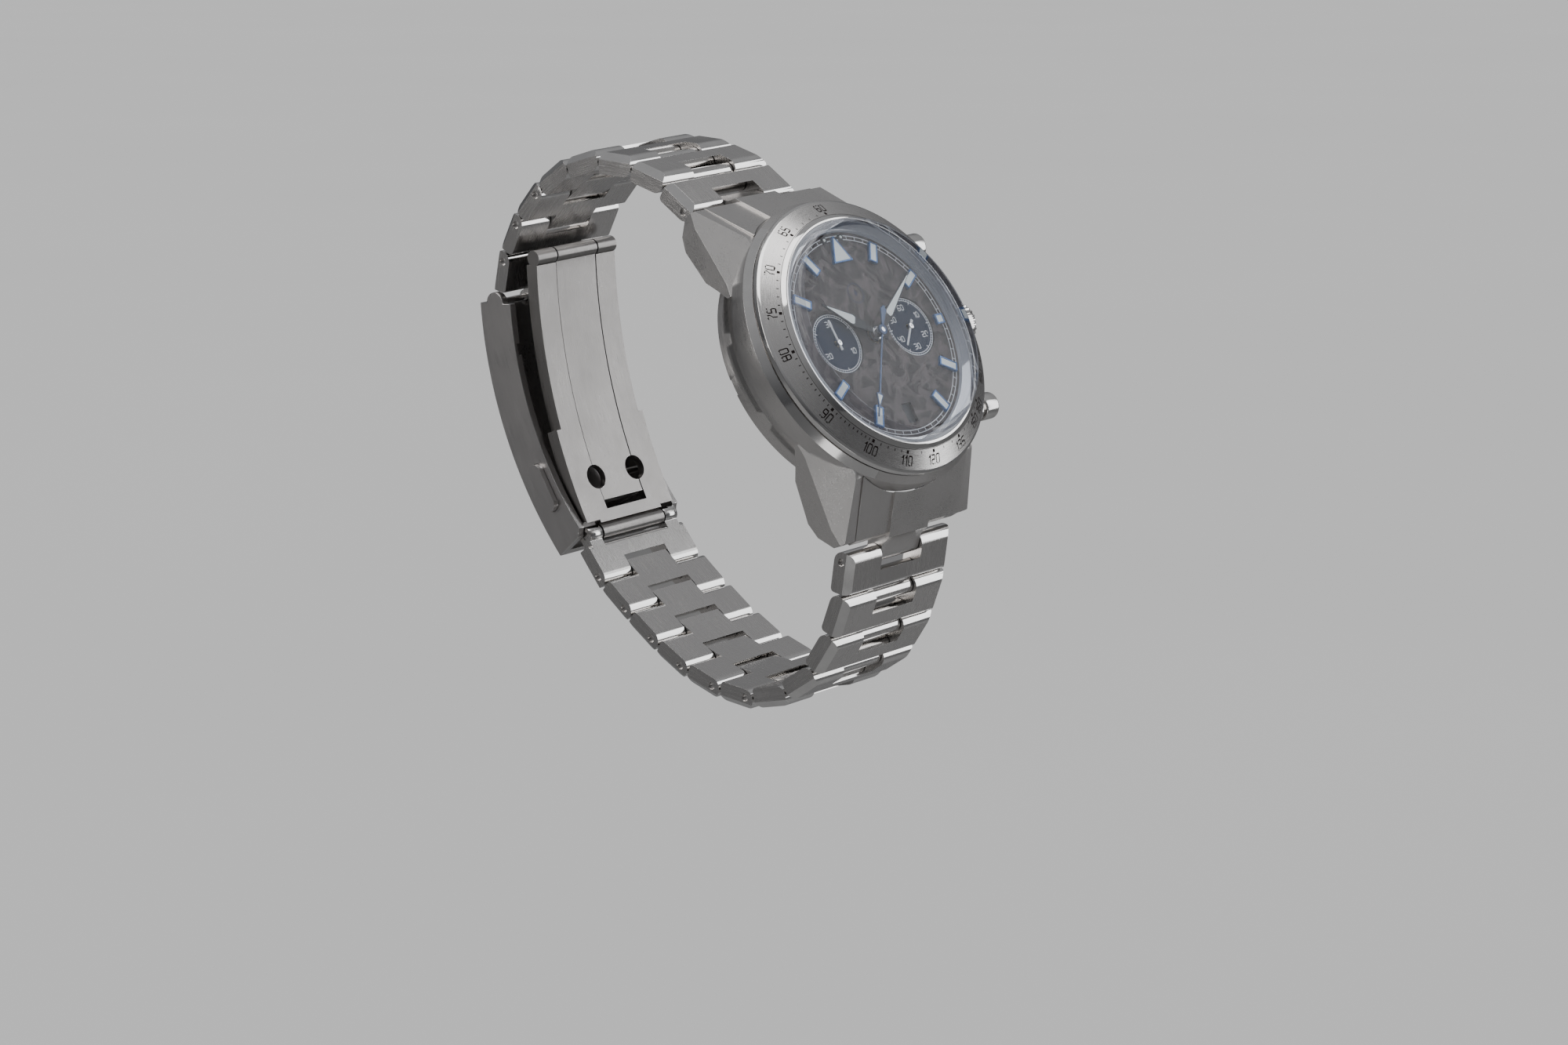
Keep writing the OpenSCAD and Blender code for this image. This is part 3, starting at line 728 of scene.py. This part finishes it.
# ---- printed marks
DIGITS: dict[str, tuple[str, ...]] = {
    "0": ("q###p", "#...#", "#...#", "#...#", "#...#", "#...#", "b###d"),
    "1": (".q#", "q##", "..#", "..#", "..#", "..#", "..#"),
    "2": ("####p", "....#", "....#", "q###d", "#....", "#....", "#####"),
    "3": ("####p", "....#", "....#", ".####", "....#", "....#", "####d"),
    "4": ("#...#", "#...#", "#...#", "b####", "....#", "....#", "....#"),
    "5": ("#####", "#....", "#....", "####p", "....#", "....#", "####d"),
    "6": ("q####", "#....", "#....", "####p", "#...#", "#...#", "b###d"),
    "7": ("#####", "....#", "...qd", "..qd.", "..#..", "..#..", "..#.."),
    "8": ("q###p", "#...#", "#...#", "#####", "#...#", "#...#", "b###d"),
    "9": ("q###p", "#...#", "#...#", "b####", "....#", "....#", "####d"),
}
CELLS: dict[str, tuple[tuple[int, int], ...]] = {
    "#": ((0, 0), (1, 0), (1, 1), (0, 1)),
    "q": ((0, 0), (1, 0), (1, 1)),
    "p": ((0, 0), (1, 0), (0, 1)),
    "b": ((1, 0), (1, 1), (0, 1)),
    "d": ((0, 0), (1, 1), (0, 1)),
}


def numeral(text: str, tall: float, squeeze: float = 0.86) -> list[Array]:
    """Flat faces of a number in squared figures, centred on the origin.

    Args:
        text: the figures.
        tall: their height in millimetres.
        squeeze: width of a cell over its height.
    Returns:
        One array of corners (x, up) for each cell.
    """
    unit = tall / len(DIGITS["0"])
    wide = sum(len(DIGITS[c][0]) + 1 for c in text) - 1
    faces, pen = [], -wide / 2
    for figure in text:
        rows = DIGITS[figure]
        for down, row in enumerate(rows):
            for across, kind in enumerate(row):
                if kind in CELLS:
                    corner = np.array(CELLS[kind], float) + (pen + across, 2.5 - down)
                    faces.append(corner * (unit * squeeze, unit))
        pen += len(rows[0]) + 1
    return faces


def printed(
    faces: Sequence[Array], lift: Callable[[Array], Array] | float, slot: int = 0
) -> Shape:
    """Flat faces laid at a height, or on a surface that gives height from radius."""
    points, index, start = [], [], 0
    for face in faces:
        radius = np.hypot(face[:, 0], face[:, 1])
        points.append(face_points(face, lift(radius) if callable(lift) else lift))
        index.append(np.arange(start, start + len(face)))
        start += len(face)
    return Shape(np.vstack(points), index, [slot] * len(index))


def on_ring(faces: Sequence[Array], angle: float, radius: float, tops_out: bool) -> list[Array]:
    """Bends flat faces round a ring: x becomes arc length and up becomes radius."""
    way = 1.0 if tops_out else -1.0
    made = []
    for face in faces:
        turn = math.radians(angle) + way * face[:, 0] / radius
        reach = radius + way * face[:, 1]
        made.append(np.stack([reach * np.sin(turn), reach * np.cos(turn)], 1))
    return made


def box(half: float, up: float) -> Array:
    """Plan outline of a box centred on the origin, from its half width and half height."""
    return np.array([[-half, -up], [half, -up], [half, up], [-half, up]])


def bar_mark(angle: float, r0: float, r1: float, wide: float) -> Array:
    """A tick between two radii at an hour angle, as one face."""
    half = wide / 2
    return clock(np.array([[-half, r0], [half, r0], [half, r1], [-half, r1]]), angle)


def arc_marks(r0: float, r1: float, start: float = 0, stop: float = 360, count: int = 180) -> list[Array]:
    """A thin ring, or part of one, as a run of four-sided faces."""
    a = np.radians(np.linspace(start, stop, count + 1))
    inner = np.stack([r0 * np.sin(a), r0 * np.cos(a)], 1)
    outer = np.stack([r1 * np.sin(a), r1 * np.cos(a)], 1)
    return list(np.stack([inner[:-1], outer[:-1], outer[1:], inner[1:]], 1))


def disc_mark(x: float, up: float, radius: float, count: int = 24) -> Array:
    """A round dot as one face."""
    a = np.linspace(0, 2 * np.pi, count, endpoint=False)
    return np.stack([x + radius * np.sin(a), up + radius * np.cos(a)], 1)


# ---- the watch head
TURN = 360.0 * 60.0  # degrees of the dial times the value that stands at a full turn


@dataclass
class Head:
    """The case with its scale ring, crystal, crown and pushers."""

    frame: dict
    fin: Finishes
    bezel_outer: float = 20.4
    bezel_line: float = 20.0
    scale_outer: float = 20.04
    scale_inner: float = 17.5
    scale_low: float = 10.70
    scale_rise: float = 1.35
    wall_r: float = 21.25
    wall_up: float = 18.6
    bevel_h: float = 8.35
    crystal_r: float = 16.2
    window_r: float = 15.45
    crystal_low: float = 11.3
    dome_top: float = 14.78
    dome_fall: float = 0.34
    numeral_r: float = 18.98
    stem_h: float = 5.8
    push_up: float = 12.4
    numeral_tall: float = 1.30
    steps: tuple[tuple[int, int], ...] = (
        (60, 5), (65, 5), (70, 5), (75, 5), (80, 10), (90, 10), (100, 5), (110, 2), (120, 3),
        (135, 3), (150, 2),
        (160, 2), (180, 2), (200, 4), (240, 3), (300, 2), (400, 0),
    )

    def scale_height(self, radius: Array) -> Array:
        """Height of the cone that carries the scale: straight from its foot to its rise."""
        share = (self.scale_outer - radius) / (self.scale_outer - self.scale_inner)
        return self.scale_low + share * self.scale_rise + 0.008

    def case_middle(self) -> None:
        """Mid-case and lugs: round satin wall, upright satin lugs, polished bevel."""
        def choose(c: Array, n: Array) -> Array:
            radius = np.hypot(c[:, 0], c[:, 2])
            radial = (c[:, 0] * n[:, 0] + c[:, 2] * n[:, 2]) / np.maximum(radius, 1e-6)
            wall_face = (radius < self.wall_r) & (radial > 0.25) & (np.abs(c[:, 2]) < self.wall_up)
            slots = np.where(wall_face, 0, 1)
            return np.where(wall_face & (c[:, 1] < -self.bevel_h), 2, slots)

        f = self.fin
        steels = [f.round_steel, f.upright_steel, f.bright_steel]
        Machined(self.frame, "mid_case", "case_middle", ease=0.13).mount("case", steels, choose)

    def end_links(self) -> None:
        """Solid end links: upright satin faces, polished steps and edges."""
        def choose(c: Array, n: Array) -> Array:
            return np.where((np.abs(n[:, 0]) > 0.25) & (np.abs(n[:, 0]) < 0.97), 1, 0)

        for side in ("12", "6"):
            node = f"end_link_{side}"
            steels = [self.fin.upright_steel, self.fin.bright_steel]
            Machined(self.frame, node, f"{node}_eased", ease=0.16).mount("case", steels, choose)

    def back(self) -> None:
        """Case back: round satin with eased steps."""
        steels = [self.fin.round_steel, self.fin.bright_steel]
        Machined(self.frame, "case_back", "case_back_eased").mount("case", steels)

    def scale_ring(self) -> None:
        """The fixed ring: polished wall and inner slope, round satin cone between them."""
        low, top = 9.76, 12.5
        line = rounded(
            [
                (self.bezel_outer, low), (self.bezel_outer, 10.42), (self.bezel_outer - 0.34, self.scale_low),
                (self.scale_inner, self.scale_low + self.scale_rise), (16.94, top), (16.6, top), (16.6, low),
            ],
            0.07, 4,
        )
        slots = [0] * 9 + [1] * 5
        slots += [2] * (len(line) - len(slots))
        f = self.fin
        ring = build("scale_ring", turned(line, 256, slots), [f.bright_steel, f.scale_steel, f.mirror_steel])
        put(ring, "case", "bezel", slot="brushed_steel")

    def scale_print(self) -> None:
        """Numerals, square marks and ticks of the speed scale, and its two lines.

        A value v stands at TURN / v degrees from twelve. Each step holds a value and how
        many parts the stretch to the next one has.
        """
        faces: list[Array] = []
        for value, _ in self.steps:
            angle = TURN / value % 360
            tops_out = angle > 262 or angle < 98
            faces += on_ring(numeral(str(value), self.numeral_tall), angle, self.numeral_r, tops_out)
            faces += on_ring([box(0.2, 0.2)], angle, 17.92, True)
        for (first, parts), (second, _) in zip(self.steps, self.steps[1:]):
            for value in np.linspace(first, second, parts + 1)[1:-1]:
                faces.append(bar_mark(TURN / value, 17.78, 18.08, 0.13))
        faces += arc_marks(self.bezel_line - 0.09, self.bezel_line + 0.01)
        faces += arc_marks(self.scale_inner + 0.03, self.scale_inner + 0.08)
        shape = printed(faces, self.scale_height)
        put(build("scale_print", shape, [self.fin.ink], solid=False), "case", slot="inner_ring")

    def crystal(self) -> None:
        """Domed crystal: clear faces, milky ground rim.

        The dome falls from its crown by the square of the radius.
        """
        r = self.crystal_r
        low, window = self.crystal_low, self.window_r
        dome_r = np.linspace(window, 0.0, 14)
        dome = [(float(x), self.dome_top - self.dome_fall * (x / window) ** 2) for x in dome_r]
        rim_line = rounded([(r, low), (r, 13.95), (r - 0.35, 14.26), dome[0]], 0.14, 4)
        under = [(0.0, 13.9), (window - 0.4, 13.9), (window, 13.65), (window, low)]
        line = rim_line + dome[1:] + under
        slots = [1] * (len(rim_line) - 1) + [0] * (len(dome) - 1) + [2] * len(under) + [1]
        f = self.fin
        obj = build("crystal_dome", turned(line, 192, slots), [f.glass, f.glass_rim, f.glass_inner])
        put(obj, "case", "crystal", slot="crystal")

    def crown(self) -> None:
        """Fluted crown on its stem. The flutes are the cosine of 28 turns of the angle."""
        r, x0, x1 = 3.0, 21.7, 24.4
        grip = rounded(
            [(x0, r - 0.35), (x0 + 0.3, r), (x1 - 0.5, r), (x1 - 0.05, r - 0.55), (x1, r - 0.9)], 0.12
        )
        line = [(7.4, 0.0), (7.4, 0.62), (x0, 0.62)] + grip + [(x1 - 0.12, 1.2), (x1 - 0.12, 0.0)]

        def ripple(x: Array, angle: Array) -> Array:
            inside = (x > x0 + 0.15) & (x < x1 - 0.2)
            return np.where(inside, -0.11 + 0.11 * np.clip(2.2 * np.cos(28 * angle), -1, 1), 0.0)

        shape = lathe_x(line, 28 * 8, ripple).moved((0, -self.stem_h, 0))
        put(build("crown_fluted", shape, [self.fin.bright_steel]), "crown", "crown", slot="brushed_steel")

    def pushers(self) -> None:
        """Round pushers with a softened, slightly domed end."""
        for name, up in (("pusher_2", self.push_up), ("pusher_4", -self.push_up)):
            head = rounded([(19.5, 1.2), (19.5, 1.9), (22.18, 1.9), (22.2, 1.0)], 0.24, 5)
            line = [(14.4, 0.0), (14.4, 1.2)] + head + [(22.2, 0.0)]
            shape = lathe_x(line, 72).moved((0, -self.stem_h, up))
            put(build(f"{name}_turned", shape, [self.fin.pusher_steel]), name, name, slot="brushed_steel")

    def build(self) -> None:
        """Makes every piece of the head and coats the small CAD nodes."""
        self.case_middle()
        self.end_links()
        self.back()
        self.scale_ring()
        self.scale_print()
        self.crystal()
        self.crown()
        self.pushers()
        f = self.fin
        for node, material in (
            ("back_gasket", f.gasket), ("crystal_gasket", f.clear_gasket), ("rehaut", f.clear_gasket),
            ("crown_tube", f.bright_steel), ("pusher_tubes", f.bright_steel), ("lug_bars", f.bright_steel),
        ):
            coat(self.frame, node, material)


# ---- dial, hands, movement
@dataclass
class Dial:
    """The flaked dial with its print, markers, small dials and hands."""

    frame: dict
    fin: Finishes
    top: float = 10.8
    lift: float = 0.012
    plate_low: float = 10.56
    plate_high: float = 10.62
    marker_r: float = 13.05
    sub_x: float = 7.6
    hour_at: float = 304.3
    minute_at: float = 55.8
    chrono_at: float = 215.0
    seconds_at: float = 222.0
    counter_at: float = 358.0

    def track(self) -> None:
        """White minute track: two rings and a tick at each minute; a plain ring above the centre."""
        faces = arc_marks(14.20, 14.33) + arc_marks(14.78, 14.91)
        faces += [bar_mark(a, 14.33, 14.78, 0.12) for a in range(0, 360, 6)]
        white = printed(faces, self.top + self.lift)
        badge = [f + (0.0, 6.3) for f in arc_marks(1.36, 1.50, count=64)]
        badge.append(np.array([[0, 5.75], [0.30, 6.3], [0, 6.85], [-0.30, 6.3]]))
        shape = white.join(printed(badge, self.top + self.lift, 1))
        obj = build("dial_print", shape, [self.fin.white, self.fin.badge_blue], solid=False)
        put(obj, "case", slot="hand_white")

    def markers(self) -> None:
        """Framed hour batons, a wedge at twelve and two studs, each filled with lume."""
        shape = Shape.empty()
        base = self.top + 0.02

        def framed(outline: Array, wide: float, tall: float) -> Shape:
            inner = inset(outline, wide + 0.015)
            fill = slab(inner, base, base + tall - 0.03, 0.03, 1)
            return rim(outline, base, base + tall, wide, 0.05).join(fill)

        for hour in (1, 2, 4, 5, 7, 8, 10, 11):
            baton = clock(box(0.7, 1.55) + (0, self.marker_r), 30 * hour)
            shape = shape.join(framed(baton, 0.22, 0.5))
        shape = shape.join(framed(clock(box(0.75, 0.8) + (0, 13.6), 90), 0.25, 0.5))
        wedge = np.array([[0.13, 14.7], [-0.13, 14.7], [-1.95, 10.85], [1.95, 10.85]])
        shape = shape.join(framed(wedge, 0.24, 0.5))
        for angle in (-6.8, 6.8):
            centre = clock(np.array([[0, 14.55]]), angle)[0]
            shape = shape.join(slab(disc_mark(*centre, 0.5), base, base + 0.26, 0.06, 2))
            shape = shape.join(slab(disc_mark(*centre, 0.22), base + 0.26, base + 0.30, 0.02, 1))
        f = self.fin
        put(build("hour_marks", shape, [f.blue, f.lume, f.black]), "case", "hour_markers", slot="marker_blue")

    def small_dials(self) -> None:
        """Two sunk navy dials: a raised outer track, a ringed middle and white print."""
        plates, ink = Shape.empty(), Shape.empty()
        low, high = self.plate_low, self.plate_high
        line = rounded(
            [
                (0.47, 10.42), (0.47, low), (3.42, low), (3.50, high), (4.36, high), (4.43, 10.58),
                (4.43, 10.42),
            ],
            0.02, 2,
        )
        for side, figures in ((1, (60, 10, 20, 30, 40, 50)), (-1, (30, 10, 20))):
            shift, part = (side * self.sub_x, 0), 360 / len(figures)
            plates = plates.join(turned(line, 128).moved((shift[0], 0, 0)))
            faces = arc_marks(3.88, 3.97, count=96) + arc_marks(4.21, 4.31, count=96)
            faces += [bar_mark(a, 3.97, 4.21, 0.09) for a in range(0, 360, 6)]
            faces += [bar_mark(a, 3.56, 3.88, 0.12) for a in np.arange(0, 360, part) + part / 2]
            ink = ink.join(printed([f + shift for f in faces], high + self.lift))
            names: list[Array] = []
            for index, value in enumerate(figures):
                spot = clock(np.array([[0, 2.92]]), index * part)[0]
                names += [f + spot + shift for f in numeral(str(value), 0.88, 0.90)]
            ink = ink.join(printed(names, low + self.lift))
        put(build("small_dial_plates", plates, [self.fin.navy]), "case", "subdials", slot="subdial_blue")
        put(build("small_dial_print", ink, [self.fin.white], solid=False), "case", slot="hand_white")

    def dagger(self, length: float, wide: float, waist: float, low: float, angle: float) -> Shape:
        """A dagger hand: a dark body widest at its waist, with a lume blade from there to the tip."""
        half, tail = wide / 2, 1.9
        body = np.array(
            [
                [-0.30, -tail], [0.30, -tail], [0.34, 0.9], [half, waist], [0.10, length], [-0.10, length],
                [-half, waist], [-0.34, 0.9],
            ]
        )
        blade = np.array(
            [[-half + 0.42, waist + 0.08], [half - 0.42, waist + 0.08], [half - 0.25, waist + 0.5],
             [0.05, length - 0.8], [-0.05, length - 0.8], [-half + 0.25, waist + 0.5]]
        )
        shape = slab(clock(body, angle), low, low + 0.24, 0.05, 0)
        return shape.join(slab(clock(blade, angle), low + 0.24, low + 0.28, 0.02, 1))

    def boss(self, x: float, outer: float, bore: float, low: float, high: float, slot: int) -> Shape:
        """A round hub with softened edges round an axis at x."""
        line = rounded([(bore, low), (outer, low), (outer, high), (bore, high)], 0.05, 3)
        return turned(line, 48, [slot] * len(line)).moved((x, 0, 0))

    def main_hands(self) -> None:
        """Hour, minute and stopwatch hands on one staff."""
        f = self.fin
        for kind, blade, hub in (
            ("hour", (9.9, 1.9, 4.1, 11.35, self.hour_at), (0.95, 0.77, 10.15, 11.60)),
            ("minute", (12.9, 1.6, 3.5, 11.85, self.minute_at), (0.71, 0.44, 9.95, 12.10)),
        ):
            shape = self.dagger(*blade).join(self.boss(0, *hub, 2))
            obj = build(f"{kind}_dagger", shape, [f.black, f.lume, f.bright_steel])
            put(obj, f"{kind}_hand", f"{kind}_hand", slot="hand_dark")
        needle = np.array(
            [
                [-0.12, -0.6], [-0.5, -3.4], [0, -4.1], [0.5, -3.4], [0.12, -0.6],
                [0.13, 10.3], [0.62, 10.55],
                [0.1, 12.6], [0.08, 14.1], [-0.08, 14.1], [-0.1, 12.6], [-0.62, 10.55], [-0.13, 10.3],
            ]
        )
        lume = np.array([[-0.40, 10.68], [0.40, 10.68], [0.04, 12.2], [-0.04, 12.2]])
        low = 12.35
        shape = slab(clock(needle, self.chrono_at), low, low + 0.18, 0.03, 0)
        shape = shape.join(slab(clock(lume, self.chrono_at), low + 0.18, low + 0.21, 0.015, 1))
        shape = shape.join(self.boss(0, 0.75, 0.20, 12.30, 12.66, 0))
        shape = shape.join(self.boss(0, 0.38, 0.01, 9.2, 12.70, 2))
        obj = build("stopwatch_needle", shape, [f.dark_blue, f.lume, f.bright_steel])
        put(obj, "chrono_hand", "chrono_hand", slot="hand_blue")

    def small_hands(self) -> None:
        """White needles of the two small dials, with bright bosses."""
        needle = np.array([[-0.2, -1.1], [0.2, -1.1], [0.14, 0], [0.13, 3.4], [-0.13, 3.4], [-0.14, 0]])
        f = self.fin
        for node, side, angle in (
            ("seconds_hand", 1, self.seconds_at), ("counter_hand", -1, self.counter_at),
        ):
            x = side * self.sub_x
            shape = slab(clock(needle, angle) + (x, 0), 10.9, 11.04, 0.03, 0)
            shape = shape.join(self.boss(x, 0.45, 0.12, 10.85, 11.16, 1))
            shape = shape.join(self.boss(x, 0.32, 0.01, 9.95, 11.12, 2))
            obj = build(f"{node}_needle", shape, [f.white, f.bright_steel, f.black])
            put(obj, node, node, slot="hand_white")

    def build(self) -> None:
        """Makes every piece of the dial and coats the dial plate and the movement."""
        self.track()
        self.markers()
        self.small_dials()
        self.main_hands()
        self.small_hands()
        f = self.fin
        for node, material in (
            ("dial", f.flakes), ("date_disc", f.black), ("movement_ring", f.brass), ("mainplate", f.brass),
            ("rotor", f.brass), ("barrel", f.brass), ("balance", f.brass), ("stem_pinion", f.brass),
            ("bridges", f.bridge),
        ):
            coat(self.frame, node, material)


# ---- bracelet and clasp
@dataclass
class Bracelet:
    """Nineteen links, each brushed along its own length with polished cuts."""

    frame: dict
    fin: Finishes
    lie_12: tuple[float, ...] = (64, 46, 33, 14, -4, -17, -31, -46)
    lie_6: tuple[float, ...] = (-49, -37, -24, -2, 18, 37, 49, 60, 66, 69, 83)

    def link(self, side: str, number: int, lie: float) -> None:
        """One link: satin outer, inner and side faces, polished cuts, bars and edges.

        A face is satin where its normal leaves the wrist, meets it or looks sideways;
        every slanted face between those is polished.
        """
        a, way = math.radians(lie), (1.0 if side == "6" else -1.0)
        out = np.array([0.0, math.sin(a), -math.cos(a)]) * way

        def choose(c: Array, n: Array) -> Array:
            satin = (np.abs(n @ out) > 0.97) | (np.abs(n[:, 0]) > 0.97)
            return np.where(satin, 0, 1)

        name = f"link{side}_{number}"
        satin = Brushed(f"link_steel_{lie:+.0f}", turn=lie, rough=0.26).make()
        Machined(self.frame, name, f"{name}_eased").mount(name, [satin, self.fin.bright_steel], choose)

    def build(self) -> None:
        """Makes both strands."""
        for side, lies in (("12", self.lie_12), ("6", self.lie_6)):
            for number, lie in enumerate(lies, 1):
                self.link(side, number, lie)


@dataclass
class Clasp:
    """Folding clasp: bent cover, two blades, bar and buttons."""

    frame: dict
    fin: Finishes
    # The blades' darker tone is painted shade: the same steel as the cover, darkened where the cover shades
    # them.
    blade_tone: RGB = (0.36, 0.345, 0.335)

    def part(self, node: str, turn: float, ease: float, colour: RGB = (0.60, 0.58, 0.57)) -> None:
        """One clasp part, named after its body: satin along its bend, with bright edges."""
        satin = Brushed(f"{node}_steel", turn=turn, colour=colour, rough=0.31).make()
        piece = Machined(self.frame, node, f"{node}_eased", ease=ease, sharp=35)
        piece.mount(node, [satin, self.fin.bright_steel])

    def build(self) -> None:
        """Makes every clasp part."""
        self.part("clasp_cover", 99, 0.16)
        # both blades take the painted shade tone
        self.part("blade_outer", 107, 0.12, self.blade_tone)
        self.part("blade_inner", 107, 0.10, self.blade_tone)
        for button in ("clasp_button_9", "clasp_button_3"):
            self.part(button, 90, 0.18)
        coat(self.frame, "clasp_bar", self.fin.bright_steel)


# ---- floor, lights, camera
def unit(way: Array) -> Array:
    """A direction at length one."""
    return way / np.linalg.norm(way)


def stand(obj: Item, turn: Array, place: Sequence[float]) -> None:
    """Gives an object its axes, as the columns of turn, and its place."""
    matrix = np.eye(4)
    matrix[:3, :3] = turn
    matrix[:3, 3] = place
    obj.matrix_world = Matrix(matrix.tolist())


@dataclass
class Studio:
    """Plain pale floor, soft lights and the camera, all set from the camera's own axes."""

    place: Triple = (-0.4464, -0.3871, -0.0997)
    up: Triple = (0.183, -0.388, 0.903)
    back: Triple = (-0.733, -0.666, -0.138)
    lens: float = 100.0
    centre: Triple = (0.0, 0.016, 0.0)
    dip: float = 9.0
    drop: float = 0.30
    reach: float = 14.0

    def axes(self) -> Array:
        """Columns right, up and back, made square to each other."""
        back = unit(np.asarray(self.back))
        right = unit(np.cross(self.up, back))
        return np.stack([right, np.cross(back, right), back], 1)

    def plumb(self) -> Array:
        """The room's upward direction: the camera's up leaned back by its dip."""
        a = math.radians(self.dip)
        square = self.axes()
        return square[:, 1] * math.cos(a) + square[:, 2] * math.sin(a)

    def camera(self) -> None:
        """A long lens at the right viewing angle."""
        data = bpy.data.cameras.new("camera")
        data.lens = self.lens
        data.sensor_width = 36.0
        data.clip_start, data.clip_end = 0.02, 60.0
        obj = linked("camera", data)
        stand(obj, self.axes(), self.place)
        bpy.context.scene.camera = obj

    def lamp(
        self, name: str, way: Triple, far: float, size: tuple[float, float],
        watts: float, tint: RGB,
    ) -> None:
        """A soft box that looks at the watch from a direction given as right, up, back."""
        data = bpy.data.lights.new(name, "AREA")
        data.shape = "RECTANGLE"
        data.size, data.size_y = size
        data.energy = watts
        data.color = tint
        toward = unit(self.axes() @ np.asarray(way))
        side = unit(np.cross(self.plumb(), toward))
        turn = np.stack([side, np.cross(toward, side), toward], 1)
        stand(linked(name, data), turn, np.asarray(self.centre) + toward * far)

    def floor(self) -> None:
        """A wide pale floor square to the room's upward direction."""
        normal = self.plumb()
        side = unit(np.cross(normal, self.axes()[:, 2]))
        ahead = np.cross(normal, side)
        middle = np.asarray(self.centre) - normal * self.drop
        corners = np.array([[-1, -1], [1, -1], [1, 1], [-1, 1]]) * self.reach
        points = middle + corners[:, :1] * side + corners[:, 1:] * ahead
        mesh = bpy.data.meshes.new("floor")
        mesh.from_pydata(points.tolist(), [], [(0, 1, 2, 3)])
        obj = linked("floor", mesh)
        s = Sheet("pale_floor")
        cloud = s.noise(s.place((2, 2, 2)), detail=2)
        plain = s.add("ShaderNodeBsdfDiffuse", None, {"Color": s.blend(cloud, (0.40,) * 3, (0.44,) * 3)})
        pale = s.add("ShaderNodeEmission", None, {"Color": s.blend(cloud, (0.72,) * 3, (0.75,) * 3)})
        seen = s.add("ShaderNodeLightPath").outputs["Is Camera Ray"]
        obj.data.materials.append(s.close(s.mix(Num(s, seen) * 0.85, plain, pale)))

    def sky(self) -> None:
        """Soft surround: brighter overhead, greyer low down; the eye sees it plain and pale."""
        world = bpy.data.worlds.new("studio")
        bpy.context.scene.world = world
        world.use_nodes = True
        s = Sheet("studio_sheet", world.node_tree)
        way = s.add("ShaderNodeTexCoord").outputs["Generated"]
        dot = s.add(
            "ShaderNodeVectorMath", {"operation": "DOT_PRODUCT"}, {0: way, 1: tuple(self.plumb())}
        )
        high = Num(s, dot.outputs["Value"]).ramp(-0.15, 0.9)
        seen = Num(s, s.add("ShaderNodeLightPath").outputs["Is Camera Ray"])
        tone = s.blend(high, (0.045, 0.046, 0.05), (0.34, 0.345, 0.355))
        colour = s.blend(seen, tone, (0.68, 0.68, 0.69))
        light = s.add("ShaderNodeBackground", None, {"Color": colour, "Strength": 1.0})
        out = s.tree.nodes.new("ShaderNodeOutputWorld")
        s.tree.links.new(light.outputs[0], out.inputs[0])

    def build(self) -> None:
        """Sets up the room."""
        self.camera()
        self.floor()
        self.sky()
        self.lamp("key", (-0.95, 0.35, 0.45), 0.55, (0.26, 0.5), 1.0, (1.0, 0.985, 0.97))
        self.lamp("over", (0.15, 1.0, 0.25), 0.55, (0.5, 0.24), 0.9, (1.0, 1.0, 1.0))
        self.lamp("rim", (1.0, 0.25, -0.15), 0.55, (0.16, 0.5), 0.7, (0.97, 0.985, 1.0))
        self.lamp("low", (0.35, -0.65, 0.75), 0.6, (0.4, 0.16), 0.25, (1.0, 1.0, 1.0))


def main() -> None:
    """Builds the whole model in order."""
    logging.basicConfig(level=logging.INFO, format="%(name)s: %(message)s")
    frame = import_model()
    finishes = Finishes()
    Studio().build()
    for kind in (Head, Dial, Bracelet, Clasp):
        kind(frame, finishes).build()


if __name__ == "__main__":
    main()
